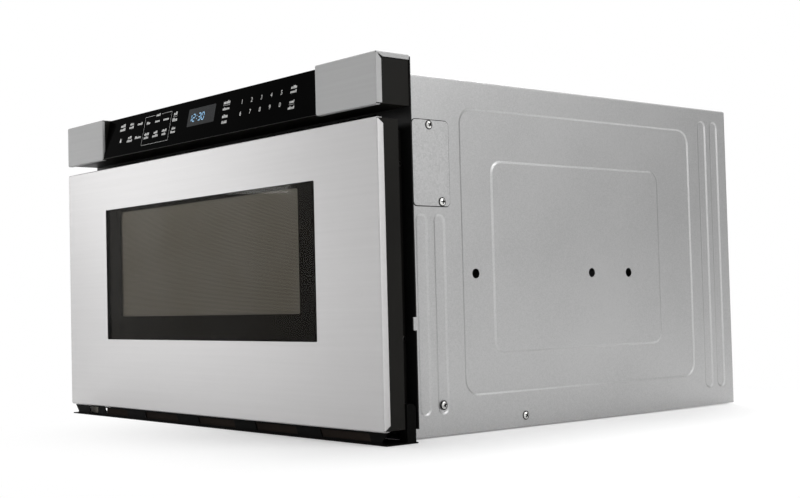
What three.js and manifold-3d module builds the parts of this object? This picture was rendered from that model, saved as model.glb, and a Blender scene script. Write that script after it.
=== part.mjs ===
// A built-in microwave drawer: an oven whose food tray slides out of the cabinet on telescopic rails.
// Millimetres. +X is to the right of someone facing the drawer, +Y goes back into the cabinet, +Z is up.
// Pieces are drawn with y = 0 on the drawer's face; the finished group stands on z = 0 with its origin in
// the middle of its footprint.
import * as THREE from 'three';
import { mergeVertices } from 'three/addons/utils/BufferGeometryUtils.js';
import Module from 'manifold-3d';

const wasm = await Module();
wasm.setup();

// ---------------------------------------------------------------- general
const FIT = 0.3;               // gap between neighbouring pieces
const SHEET = 1;               // steel sheet of the body, cavity, tray and door skins
const LAP = 0.1;               // shapes of one piece run this far into each other
const PAST = 1;                // cutting shapes run this far past what they cut
const ROUND = 20;              // sides of a round piece
const SMALL_ROUND = 12;        // sides of a small one
const TINY_ROUND = 8;          // sides of a screw shank or a stand-off
const SIDES = [-1, 1];         // left and right

// ---------------------------------------------------------------- front
const FRONT_WIDTH = 759;       // over the drawer front and the control head
const DRAWER_LIFT = 15.3;      // floor to the lower edge of the drawer front
const DRAWER_HEIGHT = 351.8;   // stainless drawer front
const HEAD_GAP = 13.7;         // air outlet between the drawer front and the control head
const HEAD_HEIGHT = 60.2;      // control head
const FRONT_DEPTH = 51;        // drawer face to the back of the mounting flange
const FLANGE_SHEET = 1.5;      // mounting flange

// ---------------------------------------------------------------- body
const FLANGE_REACH = 27;       // the front stands out past the body on each side
const FRONT_RISE = 15.3;       // and above it
const BODY_DEPTH = 628;        // behind the mounting flange
const BODY_EDGE = 3;           // bend of the wrapper's long top edges
const SKID_HEIGHT = 1.5;       // pressed runners under the base
const SKID_WIDTH = 24;
const SKID_INSET = 20;         // runners stop this far inside the base's ends
const SKID_PLACES = [-0.82, -0.28, 0.28, 0.82];   // as shares of half the body's width
const BASE_LIP = 21;           // turned-up side edges of the base
const REAR_INSET = 12;         // rear panel sits this far inside the wrapper
const PRESS_DEPTH = 1.2;       // how far ribs and panels are pressed in

const HEAD_BOTTOM = DRAWER_LIFT + DRAWER_HEIGHT + HEAD_GAP;
const FRONT_TOP = HEAD_BOTTOM + HEAD_HEIGHT;
const BODY_TOP = FRONT_TOP - FRONT_RISE;
const DEPTH = FRONT_DEPTH + BODY_DEPTH;
const FLANGE_FRONT = FRONT_DEPTH - FLANGE_SHEET;
const REAR_FACE = DEPTH - REAR_INSET;
const BASE_TOP = SKID_HEIGHT + SHEET;
const FLOOR = BASE_TOP + FIT;  // what is screwed to the base stands here
const SIDE_OUT = FRONT_WIDTH / 2;
const BODY_OUT = SIDE_OUT - FLANGE_REACH;
const BODY_IN = BODY_OUT - SHEET;

// ---------------------------------------------------------------- pressed side walls
// A broad sunk frame round a raised field, with two upright ribs before and behind it. front is measured
// from the flange, back from the body's rear edge, low from the floor and drop from the body's top.
const FIELD = { front: 99.2, back: 88.6, low: 46, drop: 34.6, radius: 19.5 };
const RAISED = { front: 150.7, back: 159.2, low: 95.2, drop: 96.8, radius: 15 };
const FRONT_RIBS = { first: 34.5, second: 62.6, width: 15.4, low: 27.4, drop: 164.7 };
const REAR_RIBS = { first: 55.2, second: 27.6, width: 16, low: 27.4, drop: 18.6 };
const SIDE_HOLES = { front: 121, middle: 298.8, back: 225, low: 191.5, radius: 6 };
const COVER = { front: 22.8, length: 56.8, height: 101.2, drop: 53.1, radius: 5.5, thick: 0.8 };
const COVER_SCREWS = { high: 5.6, highIn: 26, low: 5.2, lowIn: 12.7 };   // from the cover's edges
const SCREW = { head: 5, height: 2.6, shank: 1.8, length: 7 };
const BASE_SCREW = { front: 198.5, low: 15.3 };
const RIB_SCREW_LIFT = 9.8;    // above the lower end of the second front rib

const fieldY = ({ front, back }) => [FRONT_DEPTH + front, DEPTH - back];
const fieldZ = ({ low, drop }) => [low, BODY_TOP - drop];
const RIB_PLACES = [
  { middle: FRONT_DEPTH + FRONT_RIBS.first, set: FRONT_RIBS },
  { middle: FRONT_DEPTH + FRONT_RIBS.second, set: FRONT_RIBS },
  { middle: DEPTH - REAR_RIBS.first, set: REAR_RIBS },
  { middle: DEPTH - REAR_RIBS.second, set: REAR_RIBS }];
const SIDE_HOLE_Y = [FRONT_DEPTH + SIDE_HOLES.front, DEPTH - SIDE_HOLES.middle, DEPTH - SIDE_HOLES.back];
const COVER_Y = [FRONT_DEPTH + COVER.front, FRONT_DEPTH + COVER.front + COVER.length];
const COVER_Z = [BODY_TOP - COVER.drop - COVER.height, BODY_TOP - COVER.drop];
const SCREW_HOLE = SCREW.shank + FIT;
const SCREW_PLACES = {
  coverHigh: { y: COVER_Y[0] + COVER_SCREWS.highIn, z: COVER_Z[1] - COVER_SCREWS.high },
  coverLow: { y: COVER_Y[1] - COVER_SCREWS.lowIn, z: COVER_Z[0] + COVER_SCREWS.low },
  rib: { y: FRONT_DEPTH + FRONT_RIBS.second, z: FRONT_RIBS.low + RIB_SCREW_LIFT },
  base: { y: FRONT_DEPTH + BASE_SCREW.front, z: BASE_SCREW.low },
};

// ---------------------------------------------------------------- tray and cavity
const SIDE_ROOM = 130.5;       // tray to the body's outside, for the rails and the lamp
const ROOF_ROOM = 119;         // cavity to the body's top, for the waveguide and the stirrer's motor
const MACHINE_ROOM = 192.8;    // cavity to the rear panel, for the microwave source
const CAVITY_LIFT = 76;        // floor to the underside of the cavity
const CAVITY_BACK_GAP = 8;     // behind the tray
const TRAY_HEIGHT = 150;
const TRAY_CLEARANCE = 5;      // tray to cavity, sides and floor
const TRAY_PLATE = { thick: 4, radius: 8 };       // ceramic plate on the tray's floor
const TRAY_KEPT = 36;          // length of tray that stays in the oven when it is open

const TRAY_WIDTH = 2 * (BODY_OUT - SIDE_ROOM);
const CAVITY_FLOOR = CAVITY_LIFT + SHEET;
const CAVITY_TOP = BODY_TOP - SHEET - ROOF_ROOM;
const CAVITY_ROOF = CAVITY_TOP - SHEET;
const CAVITY_REAR = REAR_FACE - MACHINE_ROOM;
const CAVITY_BACK = CAVITY_REAR - SHEET;
const CAVITY_IN = TRAY_WIDTH / 2 + TRAY_CLEARANCE;
const CAVITY_OUT = CAVITY_IN + SHEET;

// ---------------------------------------------------------------- drawer front
const SKIN_INSET = 0.5;        // skin's sides inside the head's
const SKIN_HEM = 9.3;          // how far the skin wraps round the frame
const HEM_NOTCH = 5.5;         // slanted corner of the side hems
const FRAME_DEPTH = 32;        // drawer face to the back of the plastic frame
const FRAME_WALL = 3;
const SEAT = 3;                // the frame's rib reaches this far each side of the inner panel's rim
const PANEL_INSET = 16.5;      // inner panel's sides, inside the drawer's sides
const PANEL_DROP = 17.5;       // inner panel's lower edge above the drawer's
const PANEL_TOP_DROP = 11.5;   // inner panel's upper edge below the drawer's
const GLASS_WIDTH = 517.3;     // window glass
const GLASS_LOW = 99.6;        // drawer's lower edge to the glass
const GLASS_HEIGHT = 190.4;
const GLASS_THICK = 4;
const GLASS_SINK = 0.6;        // glass face behind the skin's
const GLASS_CORNER = 2;
const BORDER = { side: 38.2, low: 33.2, top: 5.5 };  // printed border round the clear part of the glass
const SCREEN_LAP = 7;          // screen past the clear part
const SCREEN_SPACE = 2;        // window glass to the screen
const INNER_GLASS = 2;
const CHOKE = { thick: 1, reach: 8, drop: 5, radius: 6 };   // ring that faces the cavity's mouth

const DRAWER_TOP = DRAWER_LIFT + DRAWER_HEIGHT;
const SKIN_OUT = SIDE_OUT - SKIN_INSET;
const FRAME_OUT = SKIN_OUT - SHEET - FIT;
const PANEL_OUT = SIDE_OUT - PANEL_INSET;
const PANEL_Z = [DRAWER_LIFT + PANEL_DROP, DRAWER_TOP - PANEL_TOP_DROP];
const PANEL_BACK = FLANGE_FRONT - FIT - CHOKE.thick - FIT;
const GLASS_Z = [DRAWER_LIFT + GLASS_LOW, DRAWER_LIFT + GLASS_LOW + GLASS_HEIGHT];
const VIEW_Z = [GLASS_Z[0] + BORDER.low, GLASS_Z[1] - BORDER.top];
const VIEW_WIDTH = GLASS_WIDTH - 2 * BORDER.side;
const GLASS_BACK = GLASS_SINK + GLASS_THICK;
const SCREEN_Y = [GLASS_BACK + SCREEN_SPACE, GLASS_BACK + SCREEN_SPACE + SHEET];
const CARRIED_FRONT = PANEL_BACK + FIT;           // what is fixed behind the inner panel starts here
const TRAY_BACK = CAVITY_BACK - CAVITY_BACK_GAP;
const TRAY_BOTTOM = CAVITY_FLOOR + TRAY_CLEARANCE;
const TRAVEL = TRAY_BACK - CARRIED_FRONT - TRAY_KEPT;

// ---------------------------------------------------------------- telescopic rails
const RAIL = { out: CAVITY_OUT + 25.5, low: 50, high: 92, depth: 12.5, sheet: 1.5, gap: 0.4, foot: 18 };
const RAIL_LENGTH = TRAVEL + 29;                  // the members still lap by half at full travel
const RAIL_START = FRONT_DEPTH + FIT;
const RAIL_END = RAIL_START + RAIL_LENGTH;
const INNER_RAIL_START = PANEL_BACK + 2;
const ARM = { clear: 2, end: 20, tab: 10 };       // to the channel's lips, short of the rail, past the cavity

// ---------------------------------------------------------------- rack drive
const GEAR = { teeth: 18, module: 2, backlash: 0.5, width: 12, x: -120, pressure: 20, rim: 1, shaft: 4 };
const ADDENDUM = GEAR.module;
const DEDENDUM = 1.25 * GEAR.module;
const PITCH_RADIUS = GEAR.teeth * GEAR.module / 2;
const PINION_Y = FRONT_DEPTH + 24;
const RACK_PITCH_Z = CAVITY_LIFT - 16;
const PINION_Z = RACK_PITCH_Z - PITCH_RADIUS;
const RACK_BACK = 8;                              // solid bar above the teeth
const RACK_LENGTH = TRAVEL + 49;                  // still in mesh at full travel
const GEARBOX = { gap: 2, width: 42, depth: 62, height: 50, shift: 12, bore: 9 };
const MOTOR = { radius: 17, length: 58, shift: 18, lift: 26 };

// ---------------------------------------------------------------- door-sensing switches
const SWITCH = { x: BODY_OUT - 16, z: [190, 250], width: 10, depth: 27, height: 20 };
const TERMINAL = { steps: [-6, 0, 6], thick: 0.8, width: 4, length: 7 };
const PLUNGER = { radius: 2, length: 14, travel: 1.5 };

// ---------------------------------------------------------------- mounting flange
const FLANGE = { topDrop: 2.2, low: 15.9, step: 0.4 };   // screw wings stand a step behind the middle's back
const MOUTH_CORNER = 6;
const RAIL_SLOT = { inner: 9, outer: 2, ends: 1.5 };
const RACK_SLOT = { sides: 4, below: 6, above: 5 };
const EDGE_NOTCH = { z: [127, 142], depth: 5.5 };
const INTAKE = { width: 62, lift: 6.6, height: 17.5, places: [0.25, 0.5, 0.75] };
const OUTLET = { width: 75, margin: 1, places: [0.2, 0.5, 0.8] };

// ---------------------------------------------------------------- trim under the drawer
const TRIM = { plate: 1.5, lift: 0.3, front: 3, inset: 18, wall: 25.5, thick: 2, drop: 1.5 };
const EAR = { top: 45, back: 3, width: 14.5, chamfer: 4, foot: 7.2 };
const TRIM_SLOT = { width: 89, pitch: 139.6, count: 5, low: 1.5, high: 4 };
const GLIDE = { inset: 28.8, width: 22.5, front: 17, top: 12.6 };

// ---------------------------------------------------------------- microwave source
const GUIDE = { width: 120, height: 38, wall: 1.5, front: 185, spare: 8 };
const STIRRER = { x: 0, y: 250, radius: 42, opening: 50, shaft: 2.5, hub: 7, hubLow: 3, hubHigh: 4, lift: 9 };
const STIRRER_BLADE = { count: 4, half: 11, thick: 1.2, pitch: 24 };
const STIRRER_MOTOR = { radius: 25, height: 18, bore: 9, ears: 66, earWidth: 12, earThick: 1.2 };
const STIRRER_COVER = { margin: 13, radius: 8 };
const MAGNETRON = { width: 94, depth: 80, sheet: 2, yoke: 78, filter: 30, flange: 8, inset: 5, anode: 21 };
const FINS = { count: 6, pitch: 11, thick: 0.8, inset: 6 };
const FILTER_INSET = 7;
const ANTENNA = { radius: 12, height: 20, clearance: 1.5 };
const CUTOUT = { y: 385, radius: 8, height: 9, plate: 30, plateWidth: 10, plateThick: 1.5 };

// ---------------------------------------------------------------- cooling fan
const FAN = { x: -150, drop: 52.3, depth: 38, size: 120, corner: 6, bore: 55, ring: 22, spoke: 8, web: 3 };
const IMPELLER = { hub: 18, blades: 7, tip: 3, start: 8, end: 30, half: 9, thick: 1.8, pitch: 38 };
const FAN_SHAFT = { radius: 3, reach: 20 };
const FAN_MOTOR = { radius: 21, length: 30 };
const DUCT = { wall: 1.5, drop: 30 };

const SOURCE_Y = CAVITY_REAR + FIT + FAN.size / 2;
const GUIDE_LOW = CAVITY_TOP + FIT;
const GUIDE_HIGH = GUIDE_LOW + GUIDE.height;
const GUIDE_REAR = SOURCE_Y + MAGNETRON.depth / 2 + GUIDE.spare;
const FAN_END = FAN.x + FAN.depth;
const FAN_Z = GUIDE_LOW - FAN.drop;

// ---------------------------------------------------------------- high-voltage supply, boards and lamp
const TRANSFORMER = { x: 120, width: 100, depth: 84, height: 86, coil: 16, inset: 14, foot: 12, plate: 2 };
const CAPACITOR = { x: -10, width: 52, depth: 88, height: 34 };
const TAB = { length: 9, width: 6.3, thick: 0.8, offset: 12 };   // the capacitor's two terminals
const DIODE = { x: 40, radius: 5, length: 30, lug: 12, lugThick: 1.5 };
const BOARD = 1.6;             // printed circuit boards
const POST = { radius: 3, inset: 8 };
const NOISE_FILTER = { x: [150, 240], z: [210, 290], stand: 6 };
const NOISE_CHOKE = { x: 195, z: 255, radius: 17, height: 22.4 };
const NOISE_FUSE = { x: [160, 186], z: [218, 230], height: 10.4 };
const POWER_BOARD = { x: [-215, -80], y: [90, 240], stand: 8 };
const SMALL_TRANSFORMER = { x: [-205, -165], y: [110, 150], height: 32 };
const OVEN_RELAY = { x: [-150, -128], y: [108, 128], height: 20 };
const MOTOR_RELAY = { x: [-118, -96], y: [108, 128], height: 20 };
const CONNECTORS = { x: [-200, -110], y: [180, 222], height: 14 };
const LAMP = { y: 300, z: 240, radius: 14, length: 26, hole: 11, bulb: 9, reach: 2 };

// ---------------------------------------------------------------- rear panel
// Vents behind the fan, behind the microwave source and behind the transformer.
const VENT_SLOT = { width: 56, height: 5, pitch: 13, count: 8 };
const VENT_DROP = 20;
const VENTS = [
  { x: FAN.x, z: FAN_Z - VENT_DROP },
  { x: -MAGNETRON.width / 2 - VENT_SLOT.pitch, z: FAN_Z - VENT_DROP },
  { x: TRANSFORMER.x + TRANSFORMER.width / 2, z: TRANSFORMER.height }];
const GLAND = { inset: 91, z: 52, hole: 9, head: 13, headDepth: 6, barrel: 6, bore: 4.5 };
const GLAND_X = GLAND.inset - BODY_OUT;

// ---------------------------------------------------------------- control head
const CAP_WIDTH = 114;         // stainless end caps
const CAP_HEM = 8.2;           // front hem on the cap's side
const CAP_TOP_HEM = 6;         // upper hem on the cap's side
const CAP_MITRE = 1;           // gap where the two side hems meet
const CAP_UNDER = 6.5;         // hem under the cap
const CAP_RETURN = 3;          // edge turned in beside the glass
const PANEL_TILT = 12;         // control glass leans back, degrees
const PANEL_THICK = 4;
const PANEL_LIFT = 2.2;        // head's lower edge to the control glass
const PANEL_STEP = 1;          // control glass below the caps' top
const PANEL_SINK = 0.8;        // glass's lower edge behind the caps' face
const PANEL_SIDE = 0.7;        // glass to the caps
const HEAD_WALL = 2.5;
const HEAD_ROOM = 64;          // more than the head's depth
const DISPLAY = { width: 75, height: 26, depth: 9, lift: 19.7 };
const CONTROL_BOARD = { width: 325, margin: 7 };
const CHIP = { places: [-110, -25, 75], width: 24, height: 6, length: 20 };

const TILT = Math.tan(THREE.MathUtils.degToRad(PANEL_TILT));
const PANEL_LOW = HEAD_BOTTOM + PANEL_LIFT;
const PANEL_HIGH = FRONT_TOP - PANEL_STEP;
const CAP_INNER = SIDE_OUT - CAP_WIDTH;
const PANEL_HALF = CAP_INNER - PANEL_SIDE;

// ---------------------------------------------------------------- solids
function toSolid(geometry) {
  const bare = geometry.index ? geometry.toNonIndexed() : geometry.clone();
  bare.deleteAttribute('normal');
  bare.deleteAttribute('uv');
  const merged = mergeVertices(bare, 1e-4);
  return new wasm.Manifold(new wasm.Mesh({
    numProp: 3,
    vertProperties: new Float32Array(merged.attributes.position.array),
    triVerts: new Uint32Array(merged.index.array),
  }));
}

function toGeometry(solid) {
  const mesh = solid.getMesh();
  const geometry = new THREE.BufferGeometry();
  geometry.setAttribute('position', new THREE.BufferAttribute(new Float32Array(mesh.vertProperties), 3));
  geometry.setIndex(new THREE.BufferAttribute(new Uint32Array(mesh.triVerts), 1));
  return geometry;
}

const union = (first, ...rest) => rest.reduce((whole, piece) => whole.add(piece), first);
const cut = (first, ...rest) => rest.reduce((whole, piece) => whole.subtract(piece), first);

// Spans are [low, high] pairs.
const mirrored = (side, a, b) => (side > 0 ? [a, b] : [-b, -a]);
const centred = (middle, size) => [middle - size / 2, middle + size / 2];
const grown = ([a, b], by) => [a - by, b + by];
const counted = (count) => Array.from({ length: count }, (_, index) => index);
const spread = (count, pitch) => counted(count).map((index) => (index - (count - 1) / 2) * pitch);

function block([x0, x1], [y0, y1], [z0, z1]) {
  const geometry = new THREE.BoxGeometry(x1 - x0, y1 - y0, z1 - z0);
  geometry.translate((x0 + x1) / 2, (y0 + y1) / 2, (z0 + z1) / 2);
  return toSolid(geometry);
}

const outline = (points) => new THREE.Shape(points.map(([a, b]) => new THREE.Vector2(a, b)));

function roundRect([a0, a1], [b0, b1], radius) {
  const shape = new THREE.Shape();
  shape.moveTo(a0 + radius, b0);
  shape.lineTo(a1 - radius, b0);
  shape.absarc(a1 - radius, b0 + radius, radius, -Math.PI / 2, 0);
  shape.lineTo(a1, b1 - radius);
  shape.absarc(a1 - radius, b1 - radius, radius, 0, Math.PI / 2);
  shape.lineTo(a0 + radius, b1);
  shape.absarc(a0 + radius, b1 - radius, radius, Math.PI / 2, Math.PI);
  shape.lineTo(a0, b0 + radius);
  shape.absarc(a0 + radius, b0 + radius, radius, Math.PI, 1.5 * Math.PI);
  return shape;
}

function disc(a, b, radius) {
  const shape = new THREE.Shape();
  shape.absarc(a, b, radius, 0, 2 * Math.PI);
  return shape;
}

function extrude(shape, length, segments) {
  return new THREE.ExtrudeGeometry(shape, { depth: length, bevelEnabled: false, curveSegments: segments });
}

// The outline's own axes are (y, z), (x, z) or (x, y); it is swept along the third.
function prismX(shape, [x0, x1], segments = 3) {
  const geometry = extrude(shape, x1 - x0, segments);
  geometry.applyMatrix4(new THREE.Matrix4().makeBasis(
    new THREE.Vector3(0, 1, 0), new THREE.Vector3(0, 0, 1), new THREE.Vector3(1, 0, 0)));
  geometry.translate(x0, 0, 0);
  return toSolid(geometry);
}

function prismY(shape, [y0, y1], segments = 3) {
  const geometry = extrude(shape, y1 - y0, segments);
  geometry.applyMatrix4(new THREE.Matrix4().makeBasis(
    new THREE.Vector3(1, 0, 0), new THREE.Vector3(0, 0, 1), new THREE.Vector3(0, -1, 0)));
  geometry.translate(0, y1, 0);
  return toSolid(geometry);
}

function prismZ(shape, [z0, z1], segments = 3) {
  const geometry = extrude(shape, z1 - z0, segments);
  geometry.translate(0, 0, z0);
  return toSolid(geometry);
}

const rodX = (y, z, radius, span, sides = ROUND) => prismX(disc(y, z, radius), span, sides);
const rodY = (x, z, radius, span, sides = ROUND) => prismY(disc(x, z, radius), span, sides);
const rodZ = (x, y, radius, span, sides = ROUND) => prismZ(disc(x, y, radius), span, sides);

// ---------------------------------------------------------------- finishes
function finish(colour, roughness, metalness) {
  return new THREE.MeshStandardMaterial({ color: colour, roughness, metalness });
}
const stainless = () => finish(0xc9c9c8, 0.34, 1);
const galvanised = () => finish(0xb4b5b3, 0.52, 0.9);
const blackPaint = () => finish(0x1a1a19, 0.5, 0);
const blackPlastic = () => finish(0x20201e, 0.45, 0);
const blackGlass = () => finish(0x070707, 0.06, 0);
const windowGlass = () => finish(0x2b2824, 0.08, 0);
const cavityPaint = () => finish(0x8f8d88, 0.35, 0.2);
const ceramic = () => finish(0xe4e2dc, 0.25, 0);
const varnishedCore = () => finish(0x6b4a30, 0.5, 0.4);
const zinc = () => finish(0xd2d2cf, 0.3, 1);
const nylon = () => finish(0xe6dfcf, 0.5, 0);
const circuit = () => finish(0x2f5d3a, 0.6, 0);
const aluminium = () => finish(0xcfd1d2, 0.38, 1);
const mica = () => finish(0xb9a88a, 0.7, 0);

const model = new THREE.Group();
const mechanism = new THREE.Group();
mechanism.position.set(0, -DEPTH / 2, 0);
model.add(mechanism);

function piece(name, solid, material) {
  const mesh = new THREE.Mesh(toGeometry(solid), material);
  mesh.name = name;
  mechanism.add(mesh);
}

// ---------------------------------------------------------------- body
function basePlate() {
  const ySpan = [FRONT_DEPTH + FIT, REAR_FACE - SHEET - FIT];
  const lipOut = BODY_IN - FIT;
  const pan = block(grown([-lipOut, lipOut], -LAP), ySpan, [SKID_HEIGHT, BASE_TOP]);
  const lips = SIDES.map((side) => block(
    mirrored(side, lipOut - SHEET, lipOut), ySpan, [SKID_HEIGHT, SKID_HEIGHT + BASE_LIP]));
  const skids = SKID_PLACES.map((share) => block(
    centred(share * BODY_OUT, SKID_WIDTH), grown(ySpan, -SKID_INSET), [0, BASE_TOP - LAP]));
  const screwHoles = SIDES.map((side) => rodX(
    SCREW_PLACES.base.y, SCREW_PLACES.base.z, SCREW_HOLE,
    mirrored(side, lipOut - SHEET - PAST, BODY_OUT), SMALL_ROUND));
  return cut(union(pan, ...lips, ...skids), ...screwHoles);
}

function archShape(half, top, radius) {
  const shape = new THREE.Shape();
  shape.moveTo(-half, SKID_HEIGHT + FIT);
  shape.lineTo(half, SKID_HEIGHT + FIT);
  shape.lineTo(half, top - radius);
  shape.absarc(half - radius, top - radius, radius, 0, Math.PI / 2);
  shape.lineTo(radius - half, top);
  shape.absarc(radius - half, top - radius, radius, Math.PI / 2, Math.PI);
  return shape;
}

// The pressed shapes of one side as a slab; grow makes them wider, as their backs are.
function pressings(grow, xSpan) {
  const rounded = (set, by) => prismX(roundRect(
    grown(fieldY(set), by), grown(fieldZ(set), by), set.radius + by), xSpan);
  const ribs = RIB_PLACES.map(({ middle, set }) => prismX(roundRect(
    centred(middle, set.width + 2 * grow), grown(fieldZ(set), grow), set.width / 2 + grow - FIT), xSpan));
  return union(cut(rounded(FIELD, grow), rounded(RAISED, -grow)), ...ribs);
}

function outerWrapper() {
  const shell = cut(
    prismY(archShape(BODY_OUT, BODY_TOP, BODY_EDGE), [FRONT_DEPTH + FIT, DEPTH]),
    prismY(archShape(BODY_IN, BODY_TOP - SHEET, BODY_EDGE - SHEET), [0, DEPTH + PAST]),
    block([-BODY_IN, BODY_IN], [0, DEPTH + PAST], [0, SKID_HEIGHT + PAST]));
  const pads = SIDES.map((side) => pressings(
    SHEET, mirrored(side, BODY_IN - PRESS_DEPTH, BODY_IN + SHEET / 2)));
  const dents = SIDES.map((side) => pressings(0, mirrored(side, BODY_OUT - PRESS_DEPTH, BODY_OUT + PAST)));
  const through = SIDES.map((side) => mirrored(side, BODY_IN - PRESS_DEPTH - PAST, BODY_OUT + PAST));
  const { base, rib, coverHigh, coverLow } = SCREW_PLACES;
  const screwHole = ({ y, z }, span) => rodX(y, z, SCREW_HOLE, span, SMALL_ROUND);
  const holes = through.flatMap((span) => [
    ...SIDE_HOLE_Y.map((y) => rodX(y, SIDE_HOLES.low, SIDE_HOLES.radius, span, SMALL_ROUND)),
    screwHole(base, span),
    screwHole(rib, span)]);
  const coverHoles = [coverHigh, coverLow].map((place) => screwHole(place, through[1]));
  return cut(union(shell, ...pads), ...dents, ...holes, ...coverHoles);
}

function accessCover() {
  const span = [BODY_OUT + FIT, BODY_OUT + FIT + COVER.thick];
  const holes = [SCREW_PLACES.coverHigh, SCREW_PLACES.coverLow].map(({ y, z }) => rodX(
    y, z, SCREW_HOLE, grown(span, PAST), SMALL_ROUND));
  return cut(prismX(roundRect(COVER_Y, COVER_Z, COVER.radius), span), ...holes);
}

// Pan-head screw driven along -X into a surface at seat.
function sideScrew({ y, z }, seat) {
  const head = rodX(y, z, SCREW.head, [seat + FIT, seat + FIT + SCREW.height], SMALL_ROUND);
  const shank = rodX(y, z, SCREW.shank, [seat - SCREW.length, seat + FIT + LAP], TINY_ROUND);
  return union(head, shank);
}

function rearPanel() {
  const half = BODY_IN - FIT;
  const z = [SKID_HEIGHT + FIT, BODY_TOP - SHEET - FIT];
  const pan = cut(
    prismY(roundRect([-half, half], z, BODY_EDGE), [REAR_FACE - SHEET, DEPTH - FIT]),
    block([SHEET - half, half - SHEET], [REAR_FACE, DEPTH], grown(z, -SHEET)));
  const through = grown([REAR_FACE - SHEET, REAR_FACE], PAST);
  const slots = VENTS.flatMap(({ x, z: middle }) => spread(VENT_SLOT.count, VENT_SLOT.pitch)
    .map((step) => block(centred(x, VENT_SLOT.width), through, centred(middle + step, VENT_SLOT.height))));
  return cut(pan, ...slots, rodY(GLAND_X, GLAND.z, GLAND.hole + FIT, through));
}

function cordGland() {
  const { z, hole, head, headDepth, barrel, bore } = GLAND;
  const flange = [REAR_FACE + FIT, REAR_FACE + FIT + headDepth];
  const sleeve = [REAR_FACE - SHEET - barrel, flange[0] + LAP];
  const solid = union(rodY(GLAND_X, z, head, flange), rodY(GLAND_X, z, hole, sleeve));
  return cut(solid, rodY(GLAND_X, z, bore, grown([sleeve[0], flange[1]], PAST), SMALL_ROUND));
}

function frontFlange() {
  const z = [FLANGE.low, FRONT_TOP - FLANGE.topDrop];
  const middle = block([-SIDE_OUT, SIDE_OUT], [FLANGE_FRONT, FRONT_DEPTH - FLANGE.step], z);
  const wings = SIDES.map((side) => block(
    mirrored(side, BODY_OUT + FIT, SIDE_OUT), [FLANGE_FRONT, FRONT_DEPTH], z));
  const through = grown([FLANGE_FRONT, FRONT_DEPTH], PAST);
  const mouth = prismY(
    roundRect([-CAVITY_IN, CAVITY_IN], [CAVITY_FLOOR, CAVITY_ROOF], MOUTH_CORNER), through);
  const railSlots = SIDES.map((side) => block(
    mirrored(side, CAVITY_OUT + RAIL_SLOT.inner, RAIL.out + RAIL_SLOT.outer), through,
    grown([RAIL.low, RAIL.high], RAIL_SLOT.ends)));
  const rackSlot = block(grown(centred(GEAR.x, GEAR.width), RACK_SLOT.sides), through,
    [RACK_PITCH_Z - RACK_SLOT.below, RACK_PITCH_Z + RACK_BACK + RACK_SLOT.above]);
  const notches = SIDES.map((side) => block(
    mirrored(side, SIDE_OUT - EDGE_NOTCH.depth, SIDE_OUT + PAST), through, EDGE_NOTCH.z));
  const plungerHoles = SIDES.map((side, index) => rodY(
    side * SWITCH.x, SWITCH.z[index], PLUNGER.radius + FIT, through, SMALL_ROUND));
  const vents = SIDES.flatMap((side) => [
    ...INTAKE.places.map((share) => block(centred(side * share * BODY_OUT, INTAKE.width), through,
      [FLANGE.low + INTAKE.lift, FLANGE.low + INTAKE.lift + INTAKE.height])),
    ...OUTLET.places.map((share) => block(centred(side * share * BODY_OUT, OUTLET.width), through,
      grown([DRAWER_TOP, HEAD_BOTTOM], -OUTLET.margin)))]);
  return cut(union(middle, ...wings), mouth, ...railSlots, rackSlot, ...notches, ...plungerHoles, ...vents);
}

// ---------------------------------------------------------------- trim under the drawer
function trimEar(side) {
  const wall = FLANGE_FRONT - FIT;
  const front = FRAME_DEPTH + PAST;
  const back = wall - EAR.back;
  const xSpan = mirrored(side, SIDE_OUT - EAR.width, SIDE_OUT);
  const shape = outline([
    [front, TRIM.lift], [back, TRIM.lift], [back, EAR.top - EAR.chamfer], [back - EAR.chamfer, EAR.top],
    [front, EAR.top]]);
  const foot = block(mirrored(side, SIDE_OUT - EAR.width, SIDE_OUT - EAR.foot), [back - LAP, wall],
    [TRIM.lift, EAR.top - EAR.chamfer]);
  return union(prismX(shape, xSpan), foot);
}

function bottomTrim() {
  const top = TRIM.lift + TRIM.plate;
  const wallOut = SIDE_OUT - TRIM.inset;
  const wallY = [TRIM.wall, TRIM.wall + TRIM.thick];
  const wallTop = DRAWER_LIFT - TRIM.drop;
  const plate = block([-SIDE_OUT, SIDE_OUT], [TRIM.front, FLANGE_FRONT - FIT], [TRIM.lift, top]);
  const wall = block([-wallOut, wallOut], wallY, [TRIM.lift, wallTop]);
  const slots = spread(TRIM_SLOT.count, TRIM_SLOT.pitch).map((x) => block(
    centred(x, TRIM_SLOT.width), grown(wallY, PAST), [top + TRIM_SLOT.low, DRAWER_LIFT - TRIM_SLOT.high]));
  return cut(union(plate, wall, ...SIDES.map(trimEar)), ...slots);
}

function glidePad() {
  const start = GLIDE.inset - SIDE_OUT;
  return block([start, start + GLIDE.width], [GLIDE.front, TRIM.wall - FIT],
    [TRIM.lift + TRIM.plate + FIT, GLIDE.top]);
}

// ---------------------------------------------------------------- oven cavity
function ovenCavity() {
  const outer = block([-CAVITY_OUT, CAVITY_OUT], [FRONT_DEPTH + FIT, CAVITY_REAR], [CAVITY_LIFT, CAVITY_TOP]);
  const inner = block([-CAVITY_IN, CAVITY_IN], [0, CAVITY_BACK], [CAVITY_FLOOR, CAVITY_ROOF]);
  const mouth = rodZ(STIRRER.x, STIRRER.y, STIRRER.opening, grown([CAVITY_ROOF, CAVITY_TOP], PAST));
  const lampHole = rodX(LAMP.y, LAMP.z, LAMP.hole, grown([CAVITY_IN, CAVITY_OUT], PAST), SMALL_ROUND);
  return cut(outer, inner, mouth, lampHole);
}

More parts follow.
